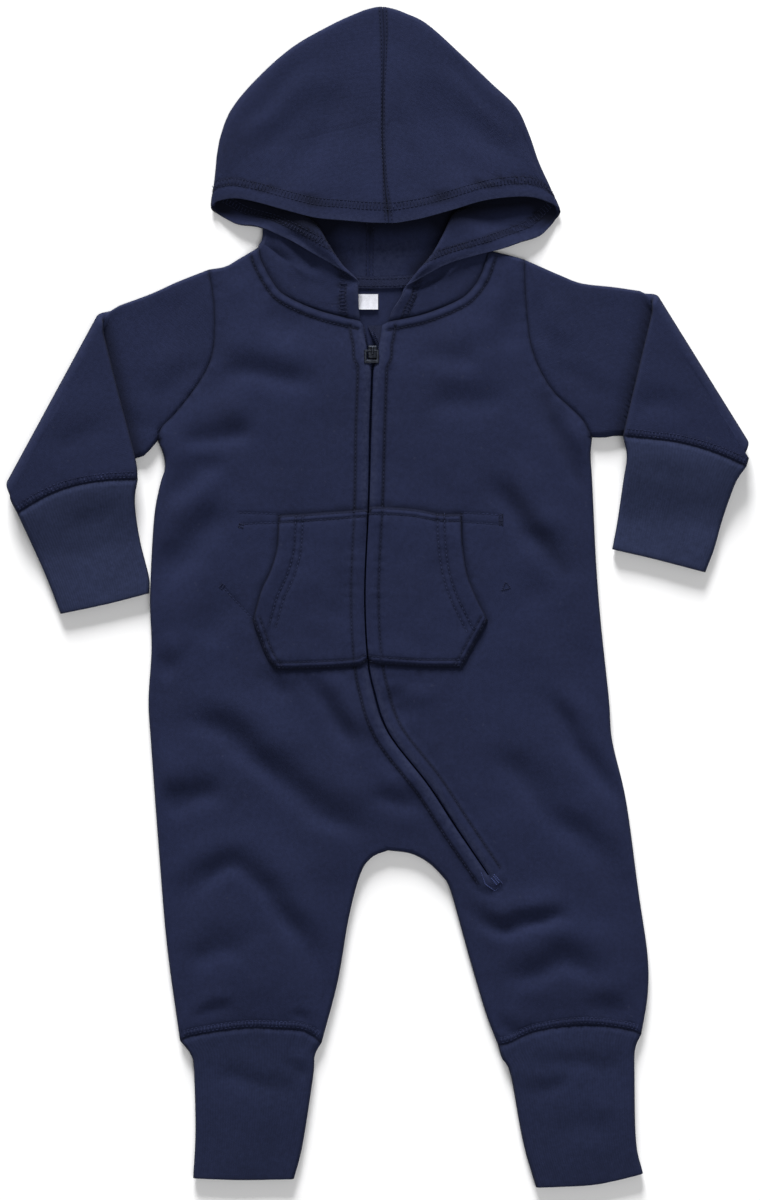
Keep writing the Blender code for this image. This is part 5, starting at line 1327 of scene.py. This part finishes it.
# Folds of the cuffs' upper faces. Columns: points along the trough, its half width and depth
LEG_FOLDS = [
    ([(90, -323), (106, -319), (128, -314)], 5.5, 1.1),
    ([(88, -300), (128, -304), (166, -304)], 6.5, 1.0),
    ([(-110, -310), (-88, -314), (-50, -323)], 7.0, 1.1),
    ([(-62, -300), (-54, -306), (-44, -310)], 4.0, 0.9),
    ([(110, -352), (132, -346), (162, -350)], 8.0, 0.6),
]


def gathers(points, line, pitch=6.0, height=0.35, reach=26.0):
    """Fine folds that run down from a seam where the cloth is drawn in."""
    near = nearest(points[:, :2], line)
    away = np.linalg.norm(points[:, :2] - near[:, :2], axis=1)
    wander = np.array([noise.noise((run / 15, 8.1, 0)) for run in near[:, 2]])
    wave = np.sin(math.tau * near[:, 2] / pitch + 6 * wander)
    return height * wave * np.exp(-away / reach) * ease(away / 3)


leg_rib = rib_material("navy leg rib", NAVY_LEG)

for side in ("right", "left"):
    shape = {key: smooth_line(points) for key, points in LEG_CUFFS[side].items()}
    body = BODY[f"leg_seam_{side}"]
    steps = np.concatenate([[0, 0.01, 0.025, 0.045], np.linspace(0.07, 0.96, 30), [0.98, 0.992, 1]])
    seam = shares(body, CUFF_CELLS)
    rings = []
    cuff_top = offset(body.line, -JOIN / 2)
    for step, line in zip(steps, patch(cuff_top, shape["hem"], shape["first"], shape["second"], steps)):
        pair = [rumpled(points, ROLL, LEG_FOLDS, [body.line])
                for points in ring(line, CUFF_CELLS, seam, 1 - step)]
        for points in pair:
            points[:, 2] += gathers(points, body.line) * upper_share(points, ROLL)
        rings.append(pair)
    worn = cuff_painted_shade(steps, LEG_CUFF, 0.6, len(rings[0][0]))
    cuff = tube(f"leg_cuff_{side}_rib", rings, leg_rib, worn)
    dressed(cuff, f"leg_cuff_{side}")

# ---------------------------------------------------------------- hood
# Two halves joined over the crown, sewn into the neck between front and back. Laid flat, the crown
# lies at the top, the sides fold over, and the hemmed face edge turns back over the opening.

CROWN_SEAM = [(-5.5, 199), (-5.5, 210), (-5, 240), (-3, 290), (0, 340), (3, 383)]
TOP_SEAM = [(2.9, 380, 1), (3, 381.7, 1.3), (3, 382.9, 3), (3, 381.7, 4.7), (3.2, 379.5, 5.2),
            (4, 372, 5.7), (4, 353, 6.4), (3, 318.5, 6.8), (3, 290.5, 7.8), (4.5, 266.5, 9.4),
            (7, 242, 10.8)]
# The hood's sections below the corner of the face opening, from the neck up.
# Columns: y on the crown seam; side fold x, y, how far it is turned (1 is all the way) and the height
# above it; crest x, y, turned, heights before and after it; free edge x, y, height
HOOD_BELOW_CORNER = {
    "right": [
        (205, (-77, 229, 1, 5), (-26, 190, 0, 5.2, 5.4), (-12.5, 188, 5.8)),
        (210, (-76, 230.5, 1, 5), (-20, 199, 0, 5.2, 6.2), (-12.8, 197, 6.8)),
        (215, (-75.5, 232, 1, 5), (-14.4, 205, 0, 5.4, 6.6), (-13.2, 204.2, 7.4)),
        (221, (-75, 235, 1, 5), (-23, 216, 1, 5.4, 8.8), (-28.5, 214.8, 8.6)),
        (230, (-75, 238, 1, 5), (-32, 229, 1, 5.4, 9), (-42, 222.5, 8.4)),
        (240, (-74.5, 241, 1, 5), (-39, 241.5, 1, 5.4, 9), (-56, 230.5, 8.2)),
        (250, (-66, 248, 1, 5), (-50, 250, 1, 5, 8.6), (-69.5, 237, 7.6)),
        (262, (-52, 259, 0, 1), (-62, 254, 0, 2.4, 3.4), (-79.5, 240.5, 5.6)),
        (270, (-70, 266, 0, 1), (-80, 257, 0, 1.2, 1.8), (-91, 242, 3.4)),
        (277, (-88, 272, 0, 1), (-96, 258, 0, 1, 1.2), (-101, 247, 1.6)),
    ],
    "left": [
        (205, (72.5, 227.5, 1, 5), (24, 190, 0, 5.2, 5.4), (9.5, 186, 5.8)),
        (210, (72, 229, 1, 5), (22, 197.5, 0, 5.2, 6.2), (14.8, 194, 6.8)),
        (215, (71.5, 230.5, 1, 5), (19.2, 201.5, 0, 5.4, 6.6), (18, 200.4, 7.4)),
        (221, (71, 233, 1, 5), (25, 211, 1, 5.4, 8.8), (31, 208.4, 8.6)),
        (230, (70, 236.5, 1, 5), (35, 222.5, 1, 5.4, 9), (46, 216.2, 8.4)),
        (240, (68, 241, 1, 5), (42.5, 237, 1, 5.4, 9), (66, 222, 8.2)),
        (250, (61.5, 248, 1, 5), (48.5, 249, 1, 5, 8.6), (80, 225.5, 7.6)),
        (262, (50, 259, 0, 1), (62, 253, 0, 2.4, 3.4), (93, 230.3, 5.6)),
        (270, (74, 267, 0, 1), (88, 254, 0, 1.2, 1.8), (105, 234.5, 3.4)),
        (277, (94, 271, 0, 1), (105, 258, 0, 1, 1.2), (112.5, 241.5, 1.6)),
    ],
}
# The corner of the face opening: the side fold's last stretch, and the free edge round the fold
HOOD_CORNER = {
    "right": {
        "fold": [(-104.6, 288), (-106, 273), (-108, 258), (-108.5, 252)],
        "edge": [(-105, 249.5, 1), (-106.6, 250.8, 1.6), (-107.4, 252.6, 3), (-106.2, 255, 4.4),
                 (-104, 256.8, 5)],
    },
    "left": {
        "fold": [(102.6, 287), (106.5, 277.5), (111, 268), (115.5, 258), (119, 250)],
        "edge": [(115.4, 245.5, 1), (117, 247.6, 1.6), (117.6, 249.8, 3), (116, 252.6, 4.4),
                 (113, 255, 5)],
    },
}
CORNER_CROWN = (281, 284, 287, 290, 293)     # y of the corner's sections on the crown seam
CORNER_LEAVE, CORNER_STEP = 14.0, 3.5        # where the first leaves the fold; how much sooner each next
CORNER_TURN = 4.0                            # length over which a section turns round the fold
TOP_SEAM_START, TOP_SEAM_TURN = 1.6, 8.0     # where the last section starts and ends its turn upwards
TOP_SEAM_CREST, CREST_LENGTH = 60.0, 6.0     # its crest: how far from the free edge, and how long
# The sections above the corner, up to the end of the crown seam, in the same columns
HOOD_ABOVE_CORNER = {
    "right": [
        (298, (-102, 300, 1, 5.4), (-95, 278, 0, 6.7, 6.8), (-93, 258.3, 7.6)),
        (304, (-95.5, 316, 1, 6), (-84, 288, 0, 6.9, 7.0), (-80, 256, 9.2)),
        (313, (-80, 335, 1, 6.2), (-62, 295, 0, 7.1, 7.2), (-60, 250.3, 11)),
        (325, (-56, 356.5, 1, 6.2), (-42, 300, 0, 7.2, 7.3), (-40, 245.2, 11.6)),
        (340, (-30, 371.5, 1, 6), (-22, 305, 0, 7.2, 7.3), (-22, 243.5, 11.4)),
        (356, (-11, 380.5, 1, 5.4), (-8, 308, 0, 7.2, 7.3), (-6, 242.2, 11)),
        (370, (-2.5, 383, 1, 5), (-1, 310, 0, 7.2, 7.3), (1.5, 242, 10.9)),
    ],
    "left": [
        (298, (97.5, 302, 1, 5.4), (98, 280, 0, 6.7, 6.8), (101, 258.8, 7.6)),
        (304, (90, 317.5, 1, 6), (86, 288, 0, 6.9, 7.0), (87, 259, 9.2)),
        (313, (74, 333, 1, 6.2), (70, 295, 0, 7.1, 7.2), (68, 256.3, 11)),
        (325, (53, 353, 1, 6.2), (50, 300, 0, 7.2, 7.3), (47, 250, 11.6)),
        (340, (31, 372.5, 1, 6), (28, 305, 0, 7.2, 7.3), (28, 244.8, 11.4)),
        (356, (15, 380.5, 1, 5.4), (15, 308, 0, 7.2, 7.3), (17, 242.8, 11)),
        (370, (7.5, 382.8, 1, 5), (9, 310, 0, 7.2, 7.3), (11.5, 242, 10.9)),
    ],
}
# Where the folds press the cloth thinner. Columns: first and last section, first and last column, thickness
HOOD_PRESSED = [(3, 4, 13, 20, 1.3), (6, 8, 5, 18, 1.1), (21, 22, 4, 10, 1.3)]
HOOD_ROWS_FINE = 5       # fine rows to each section
CORNER_SECTION = 13.5    # the sections up to here lie below the corner of the face opening
CREST_COLUMN = 8.5       # the columns from here on lie above the crest
HEM_WIDTH = 13.0         # width of the turned hem round the face
HEM_ROWS = 4.5           # between its two rows of stitches
CROWN_ROW = 2.2          # from the crown seam to the row of stitches beside it
FACING = 0.6             # a face looks up where its normal's height is more than this


def hermite(points, parts, axis=0):
    """The points with smooth ones between them, that many to a cell, along one axis of a grid."""
    p = np.moveaxis(np.asarray(points, float), axis, 0)
    h = np.maximum(np.linalg.norm(np.diff(p, axis=0), axis=-1, keepdims=True), 1e-9)
    first, last = 2 * p[:1] - p[1:2], 2 * p[-1:] - p[-2:-1]
    wide = np.concatenate([first, p, last])
    reach = np.concatenate([h[:1], h]) + np.concatenate([h, h[-1:]])
    slope = (wide[2:] - wide[:-2]) / reach
    a, b, m, n = p[:-1], p[1:], slope[:-1] * h, slope[1:] * h
    spans = []
    for t in np.arange(parts) / parts:
        spans.append(a + t * m + t**2 * (3 * (b - a) - 2 * m - n) + t**3 * (2 * (a - b) + m + n))
    made = np.stack(spans, axis=1).reshape(-1, *p.shape[1:])
    return np.moveaxis(np.concatenate([made, p[-1:]]), 0, axis)


def towards(a, b):
    """Direction in the plan from one point to another."""
    gap = b[:2] - a[:2]
    return gap / max(np.linalg.norm(gap), 1e-6)


def turned_edge(at, before, after, share, low, high, run):
    """Points round a fold whose outermost line passes through at, turned by a share of half a circle."""
    radius = max(high - low, 2) / 2
    square = np.array([-run[1], run[0]])
    square *= np.sign(square @ towards(at, before))
    points = []
    for step in np.linspace(0, 1, ROLL_CELLS + 1):
        angle = math.pi * share * step
        way = (1 - step) * towards(at, before) + step * towards(at, after)
        way = share * square + (1 - share) * way
        rise = (1 - math.cos(angle)) / 2 if share > 0 else step
        plan = at[:2] + way * (radius + CLOTH / 2 - radius * math.sin(angle))
        points.append([*plan, low + (high - low) * rise])
    return np.array(points)


def crown_point(y):
    """The point of the crown seam at this height in the plan."""
    line = smooth_line(CROWN_SEAM)
    return np.array([np.interp(y, line[:, 1], line[:, 0]), y, CLOTH / 2])


def directions(points, turned):
    """Direction of a fold line at each of its points, from the neighbours where the cloth is folded too."""
    found = []
    for k in range(len(points)):
        low = k - 1 if k > 0 and turned[k - 1] > 0 else k
        high = k + 1 if k + 1 < len(points) and turned[k + 1] > 0 else k
        found.append(towards(points[low], points[high]) if high > low else np.array([0.0, 1.0]))
    return found


def hood_rows(table, first=(), last=()):
    """The sections of one part of the table; first and last are points of the side fold beyond its ends."""
    sides = [np.array(row[1], float) for row in table]
    crests = [np.array(row[2], float) for row in table]
    turned = [*[1] * len(first), *[side[2] for side in sides], *[1] * len(last)]
    side_run = directions([*first, *sides, *last], turned)[len(first):]
    crest_run = directions(crests, [crest[2] for crest in crests])
    rows = []
    for k, (crown_y, _, _, face) in enumerate(table):
        crown, face, side, crest = crown_point(crown_y), np.array(face), sides[k], crests[k]
        fold = turned_edge(side, crown, crest, side[2], CLOTH / 2, side[3], side_run[k])
        roll = turned_edge(crest, side, face, *crest[2:], crest_run[k])
        rows.append(np.vstack([np.linspace(crown, fold[0], HOOD_FLOOR_CELLS + 1), fold[1:],
                               np.linspace(fold[-1], roll[0], HOOD_SIDE_CELLS + 1)[1:], roll[1:],
                               np.linspace(roll[-1], face, HOOD_FACE_CELLS + 1)[1:]]))
    return rows


def corner_rows(side):
    """Sections that leave the side fold one after another and run along it to the free edge's corner."""
    edge = smooth_line(HOOD_CORNER[side]["fold"])
    inward = 1 if side == "right" else -1
    total = lengths(edge)[-1]
    count = HOOD_SIDE_CELLS + ROLL_CELLS + HOOD_FACE_CELLS
    radius = ROLL - CLOTH / 2
    rows = []
    for k, (crown_y, end) in enumerate(zip(CORNER_CROWN, HOOD_CORNER[side]["edge"])):
        angle = math.pi * k / (len(CORNER_CROWN) - 1)
        leaves = CORNER_LEAVE - CORNER_STEP * k
        turned = leaves + CORNER_TURN
        places = np.concatenate([np.linspace(leaves, turned, ROLL_CELLS + 1),
                                 np.linspace(turned, total, count + 1)[1:]])
        angles = np.concatenate([np.linspace(0, angle, ROLL_CELLS + 1), np.full(count, angle)])
        flat = offset(edge, inward)
        normal = np.column_stack([np.interp(places, lengths(edge), move) for move in (flat - edge).T])
        plan = along(edge, places) + normal * (ROLL - radius * np.sin(angles))[:, None]
        points = np.column_stack([plan, ROLL - radius * np.cos(angles)])
        pull = np.clip((places - turned) / (total - turned), 0, 1)[:, None]
        points += pull**2 * (np.array(end) - points[-1])
        floor = np.linspace(crown_point(crown_y), points[0], HOOD_FLOOR_CELLS + 1)[:-1]
        rows.append(np.vstack([floor, points]))
    return rows


def seam_row():
    """The last section, up the end of the crown seam and along the seam on top to the free edge."""
    line = smooth_line(TOP_SEAM)
    total = lengths(line)[-1]
    crest = total - TOP_SEAM_CREST
    ends = (0, TOP_SEAM_START, TOP_SEAM_TURN, crest, crest + CREST_LENGTH, total)
    counts = (HOOD_FLOOR_CELLS, ROLL_CELLS, HOOD_SIDE_CELLS, ROLL_CELLS, HOOD_FACE_CELLS)
    places = [np.linspace(low, high, count + 1)[1:] for low, high, count in zip(ends, ends[1:], counts)]
    return along(line, np.concatenate([[0], *places]))


def neck_row(side, face):
    """One face of the hood along the neck seam: back neck, round the shoulder, front neck."""
    back, front = BODY[f"neck_back_{side}"], BODY[f"neck_{side}"]
    direction = 1 if side == "right" else -1
    back_points, front_points = back.beside(-1, face)[::direction], front.beside(-1, face)[::-direction]
    turns = back.turns[::direction]
    radius = ROLL if face == "outer" else ROLL - CLOTH
    heights = np.concatenate([-np.sin(turns[:-1]), [0], np.sin(front.turns[::-direction][1:])])
    return np.column_stack([np.vstack([back_points, front_points[1:]]), ROLL + radius * heights])


def grid_normals(grid):
    """Normals of a grid of points, each the mean of those of the cells round it."""
    cells = np.cross(grid[1:, 1:] - grid[:-1, :-1], grid[:-1, 1:] - grid[1:, :-1])
    cells /= np.maximum(np.linalg.norm(cells, axis=2), 1e-9)[..., None]
    total = np.zeros_like(grid)
    for rows in (slice(None, -1), slice(1, None)):
        for columns in (slice(None, -1), slice(1, None)):
            total[rows, columns] += cells
    return total


def run_along(grid, axis):
    """Distance of each point of a grid from its first row or column, along the cloth."""
    step = np.linalg.norm(np.diff(grid, axis=axis), axis=2)
    return np.concatenate([np.zeros_like(step.take([0], axis)), np.cumsum(step, axis=axis)], axis=axis)


def facing_up(line, heights):
    """The stretches of a line along which the cloth's face looks up, by its normals' heights."""
    up = heights > FACING
    cuts = np.flatnonzero(np.diff(up)) + 1
    parts = zip(np.split(line, cuts), np.split(up, cuts))
    return [part for part, kept in parts if kept[0] and len(part) > 2]


def at_distance(rows, away):
    """The point of each row at this distance from its start."""
    return np.array([along(row, [away])[0] for row in rows])


# Soft folds of the hood's upper side. Columns: points along the trough, its half width and depth
HOOD_FOLDS = [
    ([(-88, 282), (-64, 300), (-34, 334)], 10.0, 1.5),
    ([(-60, 262), (-44, 290), (-18, 340)], 11.0, 1.2),
    ([(92, 284), (64, 302), (34, 336)], 10.0, 1.5),
    ([(62, 264), (46, 292), (22, 340)], 11.0, 1.2),
    ([(-96, 298), (-70, 324), (-36, 356)], 8.0, 1.2),
    ([(92, 302), (68, 324), (38, 354)], 8.0, 1.2),
]

# Creases between the hood's hem and the neck seam, in the same columns
NECK_FOLDS = [
    ([(-62, 236), (-44, 222), (-42, 208)], 5.0, 2.6),
    ([(-76, 232), (-66, 222), (-56, 214)], 4.0, 1.9),
    ([(-36, 205), (-48, 200), (-60, 202)], 5.0, 1.2),
    ([(60, 222), (55, 206), (46, 196)], 5.0, 2.6),
    ([(44, 212), (32, 203), (18, 197)], 4.5, 2.0),
    ([(66, 226), (63, 216), (58, 206)], 4.0, 1.6),
]
brim_ends = [HOOD_CORNER[side]["edge"][0][:2] for side in ("right", "left")]
brim = [row[3][:2] for row in HOOD_ABOVE_CORNER["right"] + HOOD_ABOVE_CORNER["left"][::-1]]
brim = smooth_line([brim_ends[0], *brim, brim_ends[1]])

for side, sign in (("right", -1), ("left", 1)):
    neck = (neck_row(side, "outer") + neck_row(side, "inner")) / 2
    corner = neck[(HOOD_FLOOR_CELLS + ROLL_CELLS // 2) * FINE]
    coarse = np.array([*hood_rows(HOOD_BELOW_CORNER[side], first=[corner]), *corner_rows(side),
                       *hood_rows(HOOD_ABOVE_CORNER[side], last=[np.array(TOP_SEAM[2])]), seam_row()])
    rows = np.concatenate([neck[None], hermite(coarse, FINE, axis=1)])
    middle = hermite(rows, HOOD_ROWS_FINE, axis=0)
    section = np.arange(len(middle)) / HOOD_ROWS_FINE
    column = np.arange(middle.shape[1]) / FINE
    from_edge = run_along(middle[:, ::-1], 1)[:, ::-1]
    from_seam = run_along(middle[::-1], 0)[::-1]
    above_crest = ease((column - CREST_COLUMN) / 1.5)[None]
    upper = ease(section - CORNER_SECTION - 0.5)[:, None] * above_crest
    plan = middle[..., :2].reshape(-1, 2)
    bulge = fold_height(plan, HOOD_FOLDS) + uneven(plan, 40, 0.9, 7) + uneven(plan, 15, 0.3, 8)
    middle[..., 2] += bulge.reshape(middle.shape[:2]) * upper * ease(from_seam / 10) * ease(from_edge / 8)
    lower = (ease(section - 0.5) * ease(11 - section))[:, None] * above_crest
    middle[..., 2] += fold_height(plan, NECK_FOLDS).reshape(middle.shape[:2]) * lower * ease(from_edge / 8)
    normal = sign * grid_normals(middle)
    seam = np.zeros(middle.shape[:2], bool)
    seam[:, 0] = seam[-1, :] = True
    run = np.gradient(np.vstack([middle[:, 0], middle[-1, 1:]]), axis=0)
    across = np.column_stack([np.zeros(len(run)), run[:, 2], -run[:, 1]])
    normal[:, 0], normal[-1] = across[:len(middle)], across[len(middle) - 1:]
    normal /= np.maximum(np.linalg.norm(normal, axis=2), 1e-9)[..., None]
    half = np.full(middle.shape[:2], CLOTH / 2)
    for first_row, last_row, first_column, last_column, thickness in HOOD_PRESSED:
        pressed = (ease(section - first_row + 1) * ease(last_row + 1 - section))[:, None]
        pressed = pressed * (ease(column - first_column + 1) * ease(last_column + 1 - column))[None]
        half += pressed * (thickness - CLOTH) / 2
    past_neck = ease(section - 0.5)[:, None]
    hem_rows = (from_edge - HEM_WIDTH, from_edge - HEM_WIDTH + HEM_ROWS)
    relief = 0.3 * ease((HEM_WIDTH + 0.6 - from_edge) / 1.5) + groove(hem_rows[0], 0.45, 1.2)
    relief = (relief + groove(hem_rows[1], 0.35, 1.2)) * past_neck
    relief += groove(from_seam - CROWN_ROW, 0.35) + groove(from_seam, 0.8, 1.0)
    relief -= 0.25 * ease((2.0 - from_edge) / 2.0)
    from_neck = run_along(middle, 0)
    outer, inner = middle + normal * (half + relief)[..., None], middle - normal * half[..., None]
    neck_front = np.clip((neck[:, 2] - ROLL) / (ROLL - CLOTH / 2), 0, 1)
    for face, points in (("outer", outer), ("inner", inner)):
        points[0] = neck_row(side, face)
        points[..., 2] += groove(from_neck, SEAM_DENT, 1.3) * neck_front
        points[seam] += (sign * JOIN / 2, 0, 0)
    # Paler along the free edge, where it is rubbed; painted shade in the hem's rows, between them, beside
    # the crown seam and at the neck seam
    worn = 0.6 * np.exp(-((from_edge - 1.0) / 1.5) ** 2)
    for away in (*hem_rows, from_seam - CROWN_ROW, 0.8 * from_seam):
        worn += groove(away, 0.7, 0.8)
    worn -= 0.3 * ease((0.5 - hem_rows[0]) / 0.8) * ease((0.5 + hem_rows[1]) / 0.8)
    worn += groove(from_neck, SEAM_SHADE, 1.0)
    from_crown = run_along(middle, 1)
    # Painted shadow under the brim and beside the crest, painted light on the floor of the hood's inside,
    # and painted shade along the crown seam's rows inside, below the corner
    shadow = painted_shade_along(plan, [brim], 8.5, 1.5).reshape(worn.shape)
    crest = smooth_line([row[2][:2] for row in HOOD_BELOW_CORNER[side][3:7]])
    shadow += (painted_shade_along(plan, [crest], 8.0, 1.2).reshape(worn.shape) + 0.45) * (column < 9)[None]
    for away in (0.8 * from_crown, from_crown - CROWN_ROW):
        shadow += groove(away, 0.7, 0.9)
    worn += shadow * (section < CORNER_SECTION)[:, None]
    weave = np.stack([from_edge, from_neck], axis=2).reshape(-1, 2)
    hood = wall(f"hood_{side}_half", outer.reshape(-1, 3), inner.reshape(-1, 3), grid_faces(*worn.shape),
                fleece, weave, worn=worn.ravel())
    outer += normal * THREAD_LIFT
    inner -= normal * THREAD_LIFT
    lines = []
    for away in (HEM_WIDTH, HEM_WIDTH - HEM_ROWS):
        lines += [at_distance(points[2:, ::-1], away) for points in (outer, inner)]
    lines.append(at_distance(outer.transpose(1, 0, 2)[6 * FINE:, ::-1], CROWN_ROW))
    lines.append(at_distance(inner[2:13 * HOOD_ROWS_FINE], CROWN_ROW))
    between = HEM_WIDTH - HEM_ROWS / 2
    facing = normal[np.arange(len(normal)), abs(from_edge - between).argmin(1), 2]
    crossing = []
    for points, heights in ((outer, facing), (inner, -facing)):
        crossing += facing_up(at_distance(points[2:, ::-1], between), heights[2:])
    sewing = [stitches(f"hood_{side}_topstitching", lines),
              loops(f"hood_{side}_loops", crossing, 4.2, thread)]
    dressed(hood, f"hood_{side}")

# ---------------------------------------------------------------- neck tape and label
# A narrow twill tape covers the back neck seam inside the garment, and a small bare woven label
# hangs below it.

TAPE = 1.0                       # thickness of the tapes
NECK_TAPE_X = (-60.0, 55.0)
NECK_TAPE_AWAY = (1.3, 9.0)      # from the back neck seam to the tape's two edges
LABEL_X, LABEL_Y = (-13.0, 0.0), (186.6, 196.6)
LABEL_THICK = 0.45
LABEL_WHITE = (0.62, 0.63, 0.69)


def tape_material(name, colour, pitch, depth):
    """Narrow woven tape: fine slanting twill lines."""
    material, shader, place, across, up = new_material(name, 0.75, sheen=0.01)
    twill = ((across + up) * (1 / pitch)).wave()
    threads = ((across - up * 0.4) * (2 / pitch)).wave()
    tone = place.noise(0.004, 3.0) * 0.7 + twill * 0.12 + threads * 0.05 + 0.15
    colour = tone.between(0.25, 0.75).mix(shaded(colour, 0.78), shaded(colour, 1.16))
    surfaced(shader, colour, twill + threads * 0.4, depth)
    return material


def woven(name, grid, thick, material, width, length):
    """A thin strip of woven cloth on a grid of points; width and length are those of its weave."""
    weave = np.stack(np.meshgrid(width, length), axis=2).reshape(-1, 2)
    upper = grid.reshape(-1, 3)
    return wall(name, upper, upper - (0, 0, thick), grid_faces(*grid.shape[:2]), material, weave)


centre = np.vstack([BODY["neck_back_left"].line, BODY["neck_back_right"].line[1:]])
kept = spaced(centre[(centre[:, 0] > NECK_TAPE_X[0]) & (centre[:, 0] < NECK_TAPE_X[1])], 2.0)
across = np.linspace(*NECK_TAPE_AWAY, 6)
grid = []
for away, arch in zip(across, 0.25 * np.sin(np.linspace(0, math.pi, 6))):
    plan = offset(kept, -away)
    grid.append(np.column_stack([plan, CLOTH + SEAM_GAP + TAPE + arch + uneven(plan, 11, 0.2, 4)]))
grid = np.array(grid)
neck_tape = woven("neck_seam_tape", grid, TAPE, tape_material("navy twill tape", NAVY, 0.0011, 0.00012),
                  lengths(kept), across - across[0])
sewing = [stitches("neck_tape_stitching", [grid[1] + (0, 0, 0.1), grid[-2] + (0, 0, 0.1)])]
dressed(neck_tape, "neck_tape")

x, y = np.meshgrid(np.linspace(*LABEL_X, 15), np.linspace(*LABEL_Y, 12))
u, v = (x - x[0, 0]) / np.ptp(x), (y - y[0, 0]) / np.ptp(y)
z = CLOTH + SEAM_GAP + 0.55 * TAPE + 0.9 * (1 - v) ** 2 + 0.2 * np.sin(u * 4)
label = woven("bare_label", np.stack([x, y, z], axis=2), LABEL_THICK,
              tape_material("white label", LABEL_WHITE, 0.0006, 0.00004), x[0] - x[0, 0], y[:, 0] - y[0, 0])
dressed(label, "label")

# ---------------------------------------------------------------- zip
# A coil zip: two woven tapes under the front's edges, a nylon coil along each, a metal slider with
# its bail, and a small open pull tab that swings on it.

TAPE_EDGE = {               # y, and how far each tape's inner edge is from the middle of the zip
    "right": [(-190, 0.4), (150.5, 0.4), (153, 3.3), (163, 3.3), (177, 5.3), (185, 6.0)],
    "left": [(-190, 0.4), (150.5, 0.4), (153, 3.3), (162, 3.0), (177, -3.6), (185, -5.0)],
}
TAPE_WIDTH = 12.0        # from the zip's line to the far edge
TAPE_BEYOND = 5.0        # length past the lower end of the slit
TAPE_DROP = 0.7          # clear space under the front
COIL = {"Pitch": 1.25, "Loop": 1.1, "Wire": 0.3}
ZIP_NAVY = (0.0105, 0.0140, 0.0380)

zip_tape_cloth = tape_material("navy zip tape", ZIP_NAVY, 0.0009, 0.00012)
coil_nylon, shader, place, _, _ = new_material("navy nylon coil", 0.45)
tone = place.noise(0.003, 2.0)
surfaced(shader, tone.between(0.3, 0.7).mix(shaded(ZIP_NAVY, 0.8), shaded(ZIP_NAVY, 1.5)), tone, 0.00003)


def coil_shape(given):
    """One turn of the coil: a flattened ring of wire that stands across the line."""
    circle = given["Pitch"].node("GeometryNodeCurvePrimitiveCircle", {"mode": "RADIUS"},
                                 {"Resolution": 10, "Radius": given["Loop"]})
    wire = circle.node("GeometryNodeCurvePrimitiveCircle", {"mode": "RADIUS"},
                       {"Resolution": 5, "Radius": given["Wire"]})
    mesh = circle.node("GeometryNodeCurveToMesh", (), {"Curve": circle, "Profile Curve": wire})
    stood = mesh.node("GeometryNodeTransform", (), {
        "Geometry": mesh, "Rotation": (0, math.radians(90), 0), "Scale": (1, 1, 0.62)})
    return stood, (1, 1, 1)


coil_tree = repeat_tree("coil", ("Pitch", "Loop", "Wire"), coil_shape)
last_run = zip_line[-1] - zip_line[-2]
line = spaced(np.vstack([zip_line, zip_line[-1] + last_run * TAPE_BEYOND / np.linalg.norm(last_run)]), 2.5)
lowest = CLOTH + SEAM_GAP / 2 + TAPE
for side, sign in (("right", -1), ("left", 1)):
    near = np.interp(line[:, 1], *zip(*TAPE_EDGE[side]))
    normal = sign * normals(line)
    grid = []
    for share in np.linspace(0, 1, 7):
        plan = line + normal * (near + (TAPE_WIDTH - near) * share)[:, None]
        grid.append(np.column_stack([plan, np.maximum(body_top(plan) - CLOTH - TAPE_DROP, lowest)]))
    tape = woven(f"zip_{side}_tape", np.array(grid), TAPE, zip_tape_cloth, lengths(line),
                 np.linspace(0, 11, 7))
    path = grid[0] + np.column_stack([normal * 0.9, np.full(len(line), 0.3)])
    coil = repeated(f"zip_{side}_coil", coil_tree, [path[2:]], coil_nylon, **COIL)
    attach(coil, "garment")
    dressed(tape, f"zip_tape_{side}")

GUNMETAL = (0.030, 0.034, 0.045)
metal, shader, place, _, _ = new_material("gunmetal", 0.35, metallic=1.0)
scuff = place.noise(0.0012, 3.0)
gunmetal = scuff.between(0.3, 0.75).mix(shaded(GUNMETAL, 0.7), shaded(GUNMETAL, 1.5))
surfaced(shader, gunmetal, scuff, 0.00002, scuff * 0.25 + 0.38)
for node in ("zip_slider", "zip_pull"):
    part = frame["nodes"][node]
    part.data.materials.clear()
    part.data.materials.append(metal)
